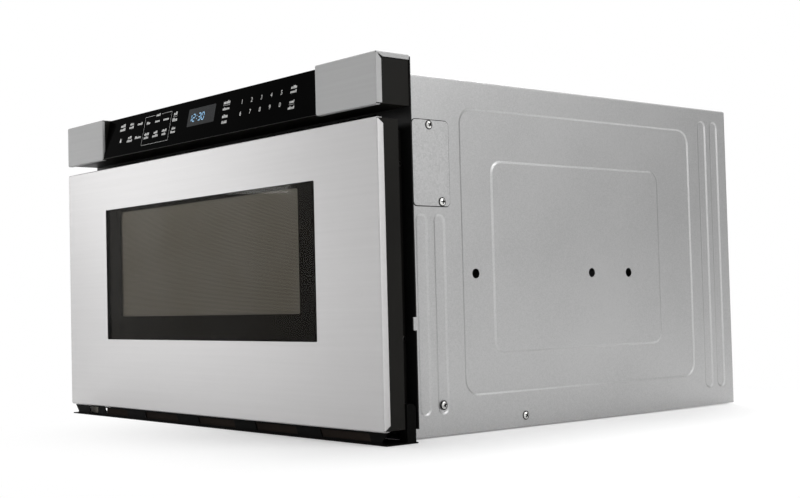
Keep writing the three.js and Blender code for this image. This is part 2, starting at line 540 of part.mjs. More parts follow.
function ovenLamp() {
  const start = CAVITY_OUT + FIT;
  const holder = rodX(LAMP.y, LAMP.z, LAMP.radius, [start, start + LAMP.length], SMALL_ROUND);
  const bulb = rodX(LAMP.y, LAMP.z, LAMP.bulb, [start - LAMP.reach, start + LAP], SMALL_ROUND);
  return union(holder, bulb);
}

// ---------------------------------------------------------------- microwave source
function waveguide() {
  const { width, wall, front } = GUIDE;
  const outer = block(centred(0, width), [front, GUIDE_REAR], [GUIDE_LOW, GUIDE_HIGH]);
  const inner = block(centred(0, width - 2 * wall), grown([front, GUIDE_REAR], -wall),
    grown([GUIDE_LOW, GUIDE_HIGH], -wall));
  const floor = grown([GUIDE_LOW, GUIDE_LOW + wall], PAST);
  const roof = grown([GUIDE_HIGH - wall, GUIDE_HIGH], PAST);
  const mouth = rodZ(STIRRER.x, STIRRER.y, STIRRER.opening, floor);
  const antennaHole = rodZ(0, SOURCE_Y, ANTENNA.radius + ANTENNA.clearance, floor);
  const shaftHole = rodZ(STIRRER.x, STIRRER.y, STIRRER.shaft + FIT, roof, SMALL_ROUND);
  return cut(outer, inner, mouth, antennaHole, shaftHole);
}

function magnetron() {
  const { width, depth, sheet, yoke, filter, flange, inset, anode } = MAGNETRON;
  const top = GUIDE_LOW - FIT;
  const yokeTop = top - sheet;
  const yokeLow = yokeTop - yoke;
  const ySpan = centred(SOURCE_Y, depth);
  const mount = block(grown(centred(0, width), flange), grown(ySpan, -inset), [yokeTop, top]);
  const shell = cut(
    block(centred(0, width), ySpan, [yokeLow, yokeTop + LAP]),
    block([-width, width], grown(ySpan, -sheet), grown([yokeLow, yokeTop], -sheet)));
  const core = rodZ(0, SOURCE_Y, anode, grown([yokeLow, yokeTop], LAP), SMALL_ROUND);
  const fins = spread(FINS.count, FINS.pitch).map((step) => block(
    grown(centred(0, width), -FINS.inset), grown(ySpan, LAP - sheet),
    centred(yokeTop - yoke / 2 + step, FINS.thick)));
  const filterBox = block(grown(centred(0, width), -FILTER_INSET), ySpan, [yokeLow - filter, yokeLow + LAP]);
  const dome = rodZ(0, SOURCE_Y, ANTENNA.radius, [top - LAP, top + ANTENNA.height], SMALL_ROUND);
  return union(shell, mount, core, ...fins, filterBox, dome);
}

function stirrerBlade() {
  const { x, y, hub, hubLow, hubHigh, radius, shaft } = STIRRER;
  const z = GUIDE_LOW + STIRRER.lift;
  const spindle = rodZ(x, y, shaft, [z, GUIDE_HIGH + STIRRER_MOTOR.bore - PAST], SMALL_ROUND);
  const boss = rodZ(x, y, hub, [z - hubLow, z + hubHigh], SMALL_ROUND);
  const { count, half, thick, pitch } = STIRRER_BLADE;
  const blades = counted(count).map((index) => block(
    [0, radius], [-half, half], centred(0, thick))
    .rotate([pitch, 0, index * 360 / count])
    .translate([x, y, z]));
  return union(spindle, boss, ...blades);
}

function stirrerMotor() {
  const { radius, height, bore, ears, earWidth, earThick } = STIRRER_MOTOR;
  const { x, y, shaft } = STIRRER;
  const low = GUIDE_HIGH + FIT;
  const can = rodZ(x, y, radius, [low, low + height]);
  const plate = block(centred(x, ears), centred(y, earWidth), [low, low + earThick]);
  return cut(union(can, plate), rodZ(x, y, shaft + FIT, [low - PAST, low + bore], SMALL_ROUND));
}

function stirrerCover() {
  const top = CAVITY_ROOF - FIT;
  const size = 2 * (STIRRER.opening + STIRRER_COVER.margin);
  return prismZ(roundRect(centred(STIRRER.x, size), centred(STIRRER.y, size), STIRRER_COVER.radius),
    [top - SHEET, top]);
}

function thermalCutout() {
  const { y, radius, height, plate, plateWidth, plateThick } = CUTOUT;
  const low = GUIDE_HIGH + FIT;
  return union(
    rodZ(0, y, radius, [low, low + height], SMALL_ROUND),
    block(centred(0, plate), centred(y, plateWidth), [low, low + plateThick]));
}

// ---------------------------------------------------------------- cooling fan
function fanHousing() {
  const ySpan = centred(SOURCE_Y, FAN.size);
  const face = [FAN.x, FAN.x + FAN.web];
  const shell = cut(
    prismX(roundRect(ySpan, centred(FAN_Z, FAN.size), FAN.corner), [FAN.x, FAN_END]),
    rodX(SOURCE_Y, FAN_Z, FAN.bore, grown([FAN.x, FAN_END], PAST)));
  const ring = rodX(SOURCE_Y, FAN_Z, FAN.ring, face);
  const spokes = SIDES.map((side) => block(face, grown([-FAN.bore, FAN.bore], PAST), centred(0, FAN.spoke))
    .rotate([side * 45, 0, 0]).translate([0, SOURCE_Y, FAN_Z]));
  return cut(union(shell, ring, ...spokes),
    rodX(SOURCE_Y, FAN_Z, FAN_SHAFT.radius + FIT, grown(face, PAST), SMALL_ROUND));
}

function fanMotor() {
  const end = FAN.x - FIT;
  const can = rodX(SOURCE_Y, FAN_Z, FAN_MOTOR.radius, [end - FAN_MOTOR.length, end]);
  const shaft = rodX(SOURCE_Y, FAN_Z, FAN_SHAFT.radius, [end - LAP, FAN.x + FAN_SHAFT.reach], SMALL_ROUND);
  return union(can, shaft);
}

function fanImpeller() {
  const { hub, blades, tip, start, end, half, thick, pitch } = IMPELLER;
  const span = [FAN.x + start, FAN.x + end];
  const boreSpan = [span[0] - PAST, FAN.x + FAN_SHAFT.reach + PAST];
  const vanes = counted(blades).map((index) => block(
    [-half, half], centred(0, thick), [hub - 2, FAN.bore - tip])
    .rotate([0, 0, pitch]).rotate([index * 360 / blades, 0, 0])
    .translate([(span[0] + span[1]) / 2, SOURCE_Y, FAN_Z]));
  return cut(union(rodX(SOURCE_Y, FAN_Z, hub, span), ...vanes),
    rodX(SOURCE_Y, FAN_Z, FAN_SHAFT.radius + FIT, boreSpan, SMALL_ROUND));
}

function airDuct() {
  const xSpan = [FAN_END + FIT, -MAGNETRON.width / 2 - FIT];
  const ySpan = centred(SOURCE_Y, MAGNETRON.depth);
  const zSpan = [FAN_Z - DUCT.drop, GUIDE_LOW - MAGNETRON.sheet - 2 * FIT];
  return cut(
    block(xSpan, ySpan, zSpan),
    block(grown(xSpan, PAST), grown(ySpan, -DUCT.wall), grown(zSpan, -DUCT.wall)));
}

// ---------------------------------------------------------------- high-voltage supply and boards
function transformer() {
  const { x, width, depth, height, coil, inset, foot, plate } = TRANSFORMER;
  const coreDepth = centred(SOURCE_Y, depth - 2 * coil);
  const core = block(centred(x, width), coreDepth, [FLOOR, FLOOR + height]);
  const coils = block(grown(centred(x, width), -inset), centred(SOURCE_Y, depth),
    grown([FLOOR, FLOOR + height], -coil));
  const feet = block(grown(centred(x, width), foot), grown(coreDepth, foot / 2), [FLOOR, FLOOR + plate]);
  return union(core, coils, feet);
}

function capacitor() {
  const { x, width, depth, height } = CAPACITOR;
  const ySpan = centred(SOURCE_Y, depth);
  const can = prismY(roundRect(centred(x, width), [FLOOR, FLOOR + height], height / 2 - LAP), ySpan, 5);
  const tabs = SIDES.map((side) => block(centred(x + side * TAB.offset, TAB.width),
    [ySpan[1] - LAP, ySpan[1] + TAB.length], centred(FLOOR + height / 2, TAB.thick)));
  return union(can, ...tabs);
}

function diode() {
  const { x, radius, length, lug, lugThick } = DIODE;
  const ySpan = centred(SOURCE_Y, length);
  return union(
    rodY(x, FLOOR + radius, radius, ySpan, SMALL_ROUND),
    block(centred(x, 2 * radius), [ySpan[1] - PAST, ySpan[1] + lug], [FLOOR, FLOOR + lugThick]));
}

function noiseFilter() {
  const back = REAR_FACE - SHEET - FIT;
  const boardY = [back - NOISE_FILTER.stand - BOARD, back - NOISE_FILTER.stand];
  const onBoard = (height) => [boardY[0] - height, boardY[0] + LAP];
  const posts = grown(NOISE_FILTER.x, -POST.inset).flatMap((x) => grown(NOISE_FILTER.z, -POST.inset)
    .map((z) => rodY(x, z, POST.radius, [boardY[1] - LAP, back], TINY_ROUND)));
  return union(
    block(NOISE_FILTER.x, boardY, NOISE_FILTER.z),
    rodY(NOISE_CHOKE.x, NOISE_CHOKE.z, NOISE_CHOKE.radius, onBoard(NOISE_CHOKE.height), SMALL_ROUND),
    block(NOISE_FUSE.x, onBoard(NOISE_FUSE.height), NOISE_FUSE.z),
    ...posts);
}

function powerBoard() {
  const low = CAVITY_TOP + FIT;
  const boardZ = [low + POWER_BOARD.stand, low + POWER_BOARD.stand + BOARD];
  const posts = grown(POWER_BOARD.x, -POST.inset).flatMap((x) => grown(POWER_BOARD.y, -POST.inset)
    .map((y) => rodZ(x, y, POST.radius, [low, boardZ[0] + LAP], TINY_ROUND)));
  const parts = [SMALL_TRANSFORMER, OVEN_RELAY, MOTOR_RELAY, CONNECTORS].map(({ x, y, height }) => block(
    x, y, [boardZ[1] - LAP, boardZ[1] + height]));
  return union(block(POWER_BOARD.x, POWER_BOARD.y, boardZ), ...posts, ...parts);
}

// ---------------------------------------------------------------- telescopic rails
// A channel open towards the middle of the oven; step 0 is the outer member, 1 and 2 run inside it.
function channel(side, step, ySpan) {
  const inset = step * (RAIL.sheet + RAIL.gap);
  const out = RAIL.out - inset;
  const inner = RAIL.out - RAIL.depth;
  const z = grown([RAIL.low, RAIL.high], -inset);
  return cut(
    block(mirrored(side, inner, out), ySpan, z),
    block(mirrored(side, inner - PAST, out - RAIL.sheet), grown(ySpan, PAST), grown(z, -RAIL.sheet)));
}

function outerRail(side) {
  const ySpan = [RAIL_START, RAIL_END];
  const web = block(mirrored(side, RAIL.out - RAIL.sheet, RAIL.out), ySpan, [FLOOR, RAIL.low + LAP]);
  const foot = block(mirrored(side, RAIL.out - RAIL.sheet, RAIL.out + RAIL.foot), ySpan,
    [FLOOR, FLOOR + RAIL.sheet]);
  return union(channel(side, 0, ySpan), web, foot);
}

function middleRail(side) {
  return channel(side, 1, [RAIL_START + FIT, RAIL_END]);
}

function innerRail(side) {
  return channel(side, 2, [INNER_RAIL_START, RAIL_END]);
}

// Arm from the drawer's inner panel along the inner member's web.
function drawerArm(side) {
  const inset = 2 * (RAIL.sheet + RAIL.gap) + RAIL.sheet;
  const out = RAIL.out - inset - FIT;
  const z = grown([RAIL.low, RAIL.high], -inset - ARM.clear);
  const plate = block(mirrored(side, out - RAIL.sheet, out), [CARRIED_FRONT, RAIL_END - ARM.end], z);
  const tab = block(mirrored(side, CAVITY_OUT + ARM.tab, out),
    [CARRIED_FRONT, CARRIED_FRONT + RAIL.sheet], z);
  return union(plate, tab);
}

// ---------------------------------------------------------------- rack drive
function rack() {
  const slope = Math.tan(THREE.MathUtils.degToRad(GEAR.pressure));
  const pitch = Math.PI * GEAR.module;
  const half = (pitch - GEAR.backlash) / 4;
  const root = RACK_PITCH_Z + DEDENDUM;
  const tip = RACK_PITCH_Z - ADDENDUM;
  const wide = half + slope * DEDENDUM;
  const narrow = half - slope * ADDENDUM;
  const end = CARRIED_FRONT + RACK_LENGTH;
  const first = Math.ceil((CARRIED_FRONT + pitch - PINION_Y) / pitch - 0.5);
  const last = Math.floor((end - pitch - PINION_Y) / pitch - 0.5);
  const points = [[CARRIED_FRONT, root + RACK_BACK], [CARRIED_FRONT, root]];
  for (let index = first; index <= last; index += 1) {
    const middle = PINION_Y + (index + 0.5) * pitch;
    points.push([middle - wide, root], [middle - narrow, tip], [middle + narrow, tip], [middle + wide, root]);
  }
  points.push([end, root], [end, root + RACK_BACK]);
  return prismX(outline(points), centred(GEAR.x, GEAR.width));
}

// Involute spur gear; at rest one tooth points straight up into a gap of the rack.
function pinionShape() {
  const base = PITCH_RADIUS * Math.cos(THREE.MathUtils.degToRad(GEAR.pressure));
  const tip = PITCH_RADIUS + ADDENDUM;
  const root = PITCH_RADIUS - DEDENDUM;
  const involute = (radius) => {
    const angle = Math.acos(Math.min(1, base / radius));
    return Math.tan(angle) - angle;
  };
  const halfTooth = Math.PI / (2 * GEAR.teeth) - GEAR.backlash / (4 * PITCH_RADIUS) + involute(PITCH_RADIUS);
  const radii = [base, PITCH_RADIUS, (PITCH_RADIUS + tip) / 2, tip];
  const points = [];
  counted(GEAR.teeth).forEach((tooth) => {
    const middle = Math.PI / 2 + tooth * 2 * Math.PI / GEAR.teeth;
    const at = (radius, angle) => points.push(
      [PINION_Y + radius * Math.cos(middle + angle), PINION_Z + radius * Math.sin(middle + angle)]);
    at(root, -halfTooth);
    radii.forEach((radius) => at(radius, involute(radius) - halfTooth));
    [...radii].reverse().forEach((radius) => at(radius, halfTooth - involute(radius)));
    at(root, halfTooth);
  });
  return outline(points);
}

const PINION_SPAN = grown(centred(GEAR.x, GEAR.width), GEAR.rim);

function pinion() {
  const shaftSpan = [PINION_SPAN[0], PINION_SPAN[1] + GEARBOX.bore];
  return union(
    prismX(pinionShape(), PINION_SPAN),
    rodX(PINION_Y, PINION_Z, GEAR.shaft, shaftSpan, SMALL_ROUND));
}

function driveMotor() {
  const start = PINION_SPAN[1] + GEARBOX.gap;
  const end = start + GEARBOX.width;
  const box = block([start, end], centred(PINION_Y + GEARBOX.shift, GEARBOX.depth),
    [FLOOR, FLOOR + GEARBOX.height]);
  const can = rodX(PINION_Y + MOTOR.shift, FLOOR + MOTOR.lift, MOTOR.radius, [end - LAP, end + MOTOR.length]);
  const bore = rodX(PINION_Y, PINION_Z, GEAR.shaft + FIT, [start - PAST, start + GEARBOX.bore], SMALL_ROUND);
  return cut(union(box, can), bore);
}

// ---------------------------------------------------------------- door-sensing switches
function sensingSwitch(side, z) {
  const front = FRONT_DEPTH + FIT;
  const back = front + SWITCH.depth;
  const x = side * SWITCH.x;
  const body = block(centred(x, SWITCH.width), [front, back], centred(z, SWITCH.height));
  const terminals = TERMINAL.steps.map((step) => block(
    centred(x, TERMINAL.thick), [back - LAP, back + TERMINAL.length], centred(z + step, TERMINAL.width)));
  const boreEnd = CARRIED_FRONT + PLUNGER.length + PLUNGER.travel + FIT;
  const bore = rodY(x, z, PLUNGER.radius + FIT, [front - PAST, boreEnd], SMALL_ROUND);
  return cut(union(body, ...terminals), bore);
}

function plunger(side, z) {
  const ySpan = [CARRIED_FRONT, CARRIED_FRONT + PLUNGER.length];
  return rodY(side * SWITCH.x, z, PLUNGER.radius, ySpan, SMALL_ROUND);
}

// ---------------------------------------------------------------- control head
// A slab that leans back with the control glass: its front lies `behind` the glass's front.
function leaning(xSpan, behind, thick, [z0, z1]) {
  const y = (z) => PANEL_SINK + (z - PANEL_LOW) * TILT + behind;
  return prismX(outline([[y(z0), z0], [y(z0) + thick, z0], [y(z1) + thick, z1], [y(z1), z1]]), xSpan);
}

function controlGlass() {
  return leaning([-PANEL_HALF, PANEL_HALF], 0, PANEL_THICK, [PANEL_LOW, PANEL_HIGH]);
}

function displaySlab(grow, shift, thick) {
  const low = HEAD_BOTTOM + DISPLAY.lift;
  return leaning(grown(centred(0, DISPLAY.width), grow), PANEL_THICK + FIT + shift, thick,
    grown([low, low + DISPLAY.height], grow));
}

function displayModule() {
  return displaySlab(0, 0, DISPLAY.depth);
}

function controlBoard() {
  const behind = PANEL_THICK + FIT + DISPLAY.depth + FIT;
  const z = grown([HEAD_BOTTOM, FRONT_TOP], -CONTROL_BOARD.margin);
  const chipZ = centred(HEAD_BOTTOM + HEAD_HEIGHT / 2, CHIP.length);
  const board = leaning(centred(0, CONTROL_BOARD.width), behind, BOARD, z);
  const chips = CHIP.places.map((x) => leaning(
    centred(x, CHIP.width), behind + BOARD - LAP, CHIP.height, chipZ));
  return union(board, ...chips);
}

function headHousing() {
  const z = grown([HEAD_BOTTOM, FRONT_TOP], -SHEET - FIT);
  const out = SIDE_OUT - SHEET - FIT;
  const whole = block([-out, out], [SHEET + FIT, FLANGE_FRONT - FIT], z);
  const pocket = PANEL_HALF + FIT;
  const seat = PANEL_THICK + FIT;
  const room = leaning([-pocket, pocket], -HEAD_ROOM, HEAD_ROOM + seat, [PANEL_LOW - FIT, FRONT_TOP]);
  const returns = SIDES.map((side) => block(
    mirrored(side, pocket - LAP, CAP_INNER + SHEET + FIT), [0, SHEET + CAP_RETURN + FIT], [0, FRONT_TOP]));
  const inside = leaning(grown([-out, out], -HEAD_WALL), seat + HEAD_WALL, HEAD_ROOM,
    grown(z, -HEAD_WALL));
  return cut(whole, room, ...returns, inside, displaySlab(FIT, -PAST, DISPLAY.depth));
}

function headCap(side) {
  const back = FLANGE_FRONT - FIT;
  const xSpan = mirrored(side, CAP_INNER, SIDE_OUT);
  const sideSpan = mirrored(side, SIDE_OUT - SHEET, SIDE_OUT);
  const face = block(xSpan, [0, SHEET], [HEAD_BOTTOM, FRONT_TOP]);
  const roof = block(xSpan, [0, back], [FRONT_TOP - SHEET, FRONT_TOP]);
  const under = block(xSpan, [0, CAP_UNDER], [HEAD_BOTTOM, HEAD_BOTTOM + SHEET]);
  const frontHem = prismX(outline([
    [0, HEAD_BOTTOM], [CAP_HEM, HEAD_BOTTOM], [CAP_HEM, FRONT_TOP - CAP_TOP_HEM - CAP_MITRE],
    [SHEET, FRONT_TOP - SHEET], [0, FRONT_TOP - SHEET]]), sideSpan);
  const topHem = prismX(outline([
    [SHEET, FRONT_TOP - SHEET / 2], [CAP_HEM + CAP_MITRE, FRONT_TOP - CAP_TOP_HEM],
    [back, FRONT_TOP - CAP_TOP_HEM], [back, FRONT_TOP - SHEET / 2]]), sideSpan);
  const edge = block(mirrored(side, CAP_INNER, CAP_INNER + SHEET), [0, SHEET + CAP_RETURN],
    [HEAD_BOTTOM, FRONT_TOP]);
  return union(face, roof, under, frontHem, topHem, edge);
}

// ---------------------------------------------------------------- drawer front
// Slanted end of a side hem at the upper (way -1) or lower (way 1) edge.
function hemNotch(side, edge, way) {
  const shape = outline([
    [SHEET, edge - way * PAST], [SHEET, edge + way * SHEET],
    [SKIN_HEM + PAST, edge + way * (HEM_NOTCH + SHEET)], [SKIN_HEM + PAST, edge - way * PAST]]);
  return prismX(shape, mirrored(side, SKIN_OUT - SHEET - LAP, SKIN_OUT + PAST));
}

function drawerSkin() {
  const z = [DRAWER_LIFT, DRAWER_TOP];
  const shell = cut(
    block([-SKIN_OUT, SKIN_OUT], [0, SKIN_HEM], z),
    block([SHEET - SKIN_OUT, SKIN_OUT - SHEET], [SHEET, SKIN_HEM + PAST], grown(z, -SHEET)));
  const glassHole = prismY(roundRect(grown(centred(0, GLASS_WIDTH), FIT / 2), grown(GLASS_Z, FIT / 2),
    GLASS_CORNER), grown([0, SHEET], PAST), 2);
  const notches = SIDES.flatMap((side) => [hemNotch(side, z[1], -1), hemNotch(side, z[0], 1)]);
  return cut(shell, glassHole, ...notches);
}

// Rib in the plastic frame that carries the rim of the inner panel.
function panelSeat() {
  const ySpan = [SCREEN_Y[1], FRAME_DEPTH];
  return cut(
    block(grown([-PANEL_OUT, PANEL_OUT], SEAT), ySpan, grown(PANEL_Z, SEAT)),
    block(grown([-PANEL_OUT, PANEL_OUT], -SEAT), [0, FRAME_DEPTH + PAST], grown(PANEL_Z, -SEAT)));
}

function drawerFrame() {
  const z = grown([DRAWER_LIFT, DRAWER_TOP], -SHEET - FIT);
  const screenLap = SCREEN_LAP + FIT;
  const floor = SCREEN_Y[1] + FIT + FRAME_WALL;
  const body = block([-FRAME_OUT, FRAME_OUT], [SHEET + FIT, FRAME_DEPTH], z);
  const glassPocket = block(grown(centred(0, GLASS_WIDTH), FIT), [0, GLASS_BACK + FIT], grown(GLASS_Z, FIT));
  const screenPocket = block(grown(centred(0, VIEW_WIDTH), screenLap), [0, SCREEN_Y[1] + FIT],
    grown(VIEW_Z, screenLap));
  const view = block(centred(0, VIEW_WIDTH), [0, FRAME_DEPTH + PAST], VIEW_Z);
  const hollow = cut(
    block([FRAME_WALL - FRAME_OUT, FRAME_OUT - FRAME_WALL], [floor, FRAME_DEPTH + PAST],
      grown(z, -FRAME_WALL)),
    block(grown(centred(0, VIEW_WIDTH), FRAME_WALL), [0, FRAME_DEPTH + 2 * PAST], grown(VIEW_Z, FRAME_WALL)),
    panelSeat());
  return cut(body, glassPocket, screenPocket, view, hollow);
}

function windowPane() {
  return prismY(roundRect(centred(0, GLASS_WIDTH), GLASS_Z, GLASS_CORNER), [GLASS_SINK, GLASS_BACK], 2);
}

function windowScreen() {
  return block(grown(centred(0, VIEW_WIDTH), SCREEN_LAP), SCREEN_Y, grown(VIEW_Z, SCREEN_LAP));
}

function innerPanel() {
  const front = FRAME_DEPTH + FIT;
  const pan = cut(
    block([-PANEL_OUT, PANEL_OUT], [front, PANEL_BACK], PANEL_Z),
    block(grown([-PANEL_OUT, PANEL_OUT], -SHEET), [front - PAST, PANEL_BACK - SHEET],
      grown(PANEL_Z, -SHEET)));
  return cut(pan, block(centred(0, VIEW_WIDTH), grown([front, PANEL_BACK], PAST), VIEW_Z));
}

function innerWindow() {
  const back = PANEL_BACK - SHEET - FIT;
  return block(grown(centred(0, VIEW_WIDTH), SCREEN_LAP), [back - INNER_GLASS, back],
    grown(VIEW_Z, SCREEN_LAP));
}

function chokeCover() {
  const { thick, reach, drop, radius } = CHOKE;
  const shape = roundRect(
    grown([-CAVITY_IN, CAVITY_IN], reach), [CAVITY_FLOOR - drop, CAVITY_ROOF + reach], radius);
  const ring = prismY(shape, [CARRIED_FRONT, CARRIED_FRONT + thick]);
  return cut(ring, block([-CAVITY_IN, CAVITY_IN], [0, FRONT_DEPTH], [CAVITY_FLOOR, CAVITY_ROOF]));
}

function tray() {
  const half = TRAY_WIDTH / 2;
  return cut(
    block([-half, half], [CARRIED_FRONT, TRAY_BACK], [TRAY_BOTTOM, TRAY_BOTTOM + TRAY_HEIGHT]),
    block([SHEET - half, half - SHEET], [0, TRAY_BACK - SHEET],
      [TRAY_BOTTOM + SHEET, TRAY_BOTTOM + TRAY_HEIGHT + PAST]));
}

function trayPlate() {
  const half = TRAY_WIDTH / 2 - SHEET - FIT;
  const low = TRAY_BOTTOM + SHEET + FIT;
  return prismZ(roundRect([-half, half], [CARRIED_FRONT, TRAY_BACK - SHEET - FIT], TRAY_PLATE.radius),
    [low, low + TRAY_PLATE.thick]);
}

// ---------------------------------------------------------------- assembly
piece('base_plate', basePlate(), galvanised());
piece('outer_wrapper', outerWrapper(), galvanised());
piece('rear_panel', rearPanel(), galvanised());
piece('front_flange', frontFlange(), blackPaint());
piece('access_cover', accessCover(), galvanised());
piece('access_screw_upper', sideScrew(SCREW_PLACES.coverHigh, BODY_OUT + FIT + COVER.thick), zinc());
piece('access_screw_lower', sideScrew(SCREW_PLACES.coverLow, BODY_OUT + FIT + COVER.thick), zinc());
piece('rib_screw', sideScrew(SCREW_PLACES.rib, BODY_OUT), zinc());
piece('base_screw', sideScrew(SCREW_PLACES.base, BODY_OUT), zinc());
piece('cord_gland', cordGland(), blackPlastic());
piece('bottom_trim', bottomTrim(), blackPaint());
piece('glide_pad', glidePad(), nylon());

piece('oven_cavity', ovenCavity(), cavityPaint());
piece('oven_lamp', ovenLamp(), ceramic());
piece('waveguide', waveguide(), aluminium());
piece('magnetron', magnetron(), aluminium());
piece('stirrer_cover', stirrerCover(), mica());
piece('stirrer_blade', stirrerBlade(), aluminium());
piece('stirrer_motor', stirrerMotor(), zinc());
piece('thermal_cutout', thermalCutout(), blackPlastic());
piece('fan_housing', fanHousing(), blackPlastic());
piece('fan_impeller', fanImpeller(), blackPlastic());
piece('fan_motor', fanMotor(), zinc());
piece('air_duct', airDuct(), blackPlastic());
piece('hv_transformer', transformer(), varnishedCore());
piece('hv_capacitor', capacitor(), aluminium());
piece('hv_diode', diode(), blackPlastic());
piece('noise_filter_board', noiseFilter(), circuit());
piece('power_board', powerBoard(), circuit());

piece('head_housing', headHousing(), blackPlastic());
piece('control_glass', controlGlass(), blackGlass());
piece('display_module', displayModule(), blackPlastic());
piece('control_board', controlBoard(), circuit());
piece('drive_motor', driveMotor(), zinc());
piece('drive_pinion', pinion(), nylon());

piece('drawer_skin', drawerSkin(), stainless());
piece('drawer_frame', drawerFrame(), blackPlastic());
piece('window_glass', windowPane(), windowGlass());
piece('window_screen', windowScreen(), blackPaint());
piece('inner_panel', innerPanel(), blackPaint());
piece('inner_window', innerWindow(), windowGlass());
piece('choke_cover', chokeCover(), blackPlastic());
piece('drawer_tray', tray(), cavityPaint());
piece('tray_plate', trayPlate(), ceramic());
piece('drive_rack', rack(), nylon());

['left', 'right'].forEach((name, index) => {
  const side = SIDES[index];
  piece(`head_cap_${name}`, headCap(side), stainless());
  piece(`switch_${name}`, sensingSwitch(side, SWITCH.z[index]), blackPlastic());
  piece(`plunger_${name}`, plunger(side, SWITCH.z[index]), nylon());
  piece(`rail_outer_${name}`, outerRail(side), zinc());
  piece(`rail_middle_${name}`, middleRail(side), zinc());
  piece(`rail_inner_${name}`, innerRail(side), zinc());
  piece(`drawer_arm_${name}`, drawerArm(side), zinc());
});

export default model;
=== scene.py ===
# %% [markdown]
# # A microwave drawer in a plain photo studio
# The oven's solids are already made and named. This lesson dresses them: thin folded sheets, glass,
# printed marks and screws are built in mesh code round the solids, and every solid that stays gets
# a finish made of nodes. Lengths are written as on a workshop drawing, in millimetres: x from the
# middle of the front, y back from the drawer's face, z up from the floor. So a number here can be
# compared with a ruler on the real oven.

# %% The frame of solids
import math
import random

import bmesh
import bpy
from mathutils import Matrix, Vector
from mathutils.geometry import delaunay_2d_cdt


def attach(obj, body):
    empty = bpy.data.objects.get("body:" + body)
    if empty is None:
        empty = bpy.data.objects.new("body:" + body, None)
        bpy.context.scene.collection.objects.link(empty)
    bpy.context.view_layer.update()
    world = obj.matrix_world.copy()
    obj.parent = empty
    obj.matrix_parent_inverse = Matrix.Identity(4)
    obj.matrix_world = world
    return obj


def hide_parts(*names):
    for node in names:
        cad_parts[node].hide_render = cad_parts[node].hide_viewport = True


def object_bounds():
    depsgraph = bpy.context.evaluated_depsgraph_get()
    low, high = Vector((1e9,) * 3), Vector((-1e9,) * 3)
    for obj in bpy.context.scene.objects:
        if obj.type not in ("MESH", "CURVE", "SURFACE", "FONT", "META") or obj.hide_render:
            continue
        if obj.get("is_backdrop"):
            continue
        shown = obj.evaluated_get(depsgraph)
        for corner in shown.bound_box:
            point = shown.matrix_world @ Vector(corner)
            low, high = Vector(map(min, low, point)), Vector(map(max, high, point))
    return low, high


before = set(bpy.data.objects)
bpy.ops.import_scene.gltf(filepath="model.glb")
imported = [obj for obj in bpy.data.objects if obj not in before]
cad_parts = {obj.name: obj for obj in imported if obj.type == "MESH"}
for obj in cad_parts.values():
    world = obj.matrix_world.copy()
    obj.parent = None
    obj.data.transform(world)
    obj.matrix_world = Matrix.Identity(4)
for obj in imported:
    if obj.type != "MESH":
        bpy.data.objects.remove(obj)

cad_low, cad_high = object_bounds()
MM = 0.001
FACE_Y = cad_low.y


def place(x, y, z):
    """A point in metres from its place in millimetres on the oven."""
    return Vector((x * MM, FACE_Y + y * MM, z * MM))


def add_object(name, data):
    """A new object in the scene."""
    thing = bpy.data.objects.new(name, data)
    bpy.context.scene.collection.objects.link(thing)
    return thing


# %% [markdown]
# ## The camera
# The oven was photographed from its front right, a little under half its height. A camera can be
# placed by eye; here yaw, pitch and roll come from a fit to measured corners, and three axes made
# of them go into the camera's matrix. It looks along its own -Z, with +X to the right and +Y up.

# %% Camera
SENSOR_WIDTH = 36
LENS = 59.02
CAMERA_PLACE = place(1502, -921.4, 160.9)
YAW, PITCH, ROLL = (math.radians(angle) for angle in (-49.75, -2.26, -1.43))

ahead = Vector((math.sin(YAW) * math.cos(PITCH), math.cos(YAW) * math.cos(PITCH), -math.sin(PITCH)))
level = Vector((math.cos(YAW), -math.sin(YAW), 0))
upright = level.cross(ahead)
right = level * math.cos(ROLL) + upright * math.sin(ROLL)
up = upright * math.cos(ROLL) - level * math.sin(ROLL)

camera = add_object("photo_camera", bpy.data.cameras.new("photo_camera"))
camera.data.lens = LENS
camera.data.sensor_width = SENSOR_WIDTH
axes = Matrix((right, up, -ahead)).transposed().to_4x4()
camera.matrix_world = Matrix.Translation(CAMERA_PLACE) @ axes
bpy.context.scene.camera = camera
print("camera at", [round(value, 3) for value in CAMERA_PLACE], "lens", LENS)

# %% [markdown]
# ## Finishes out of nodes
# A finish is a Principled shader with small textures in front of it. It could be built by hand in
# the node editor; a written recipe can be used again with other numbers. Values that are the same
# everywhere stay on the shader's own sockets.

# %% Node helpers
def colour(code):
    """A linear colour from the six-figure code of how it looks on a screen."""
    values = [int(code[start:start + 2], 16) / 255 for start in (0, 2, 4)]
    return (*(v / 12.92 if v <= 0.04045 else ((v + 0.055) / 1.055) ** 2.4 for v in values), 1)


def finish(name, **sockets):
    """A Principled material; the sockets are named with _ in place of a space."""
    material = bpy.data.materials.new(name)
    material.use_nodes = True
    shader = material.node_tree.nodes["Principled BSDF"]
    for socket, value in sockets.items():
        shader.inputs[socket.replace("_", " ")].default_value = value
    return material


def node(material, kind, inputs, **settings):
    """One more node; an input is either a value or another node's output."""
    made = material.node_tree.nodes.new("ShaderNode" + kind)
    for setting, value in settings.items():
        setattr(made, setting, value)
    for socket, value in inputs.items():
        if isinstance(value, bpy.types.NodeSocket):
            material.node_tree.links.new(value, made.inputs[socket])
        else:
            made.inputs[socket].default_value = value
    return made


def drive(material, socket, output):
    """Links an output to a socket of the material's shader."""
    shader = material.node_tree.nodes["Principled BSDF"]
    material.node_tree.links.new(output, shader.inputs[socket])


def maths(material, operation, *inputs):
    """One sum; each input is a value or another node's output."""
    return node(material, "Math", dict(enumerate(inputs)), operation=operation).outputs[0]


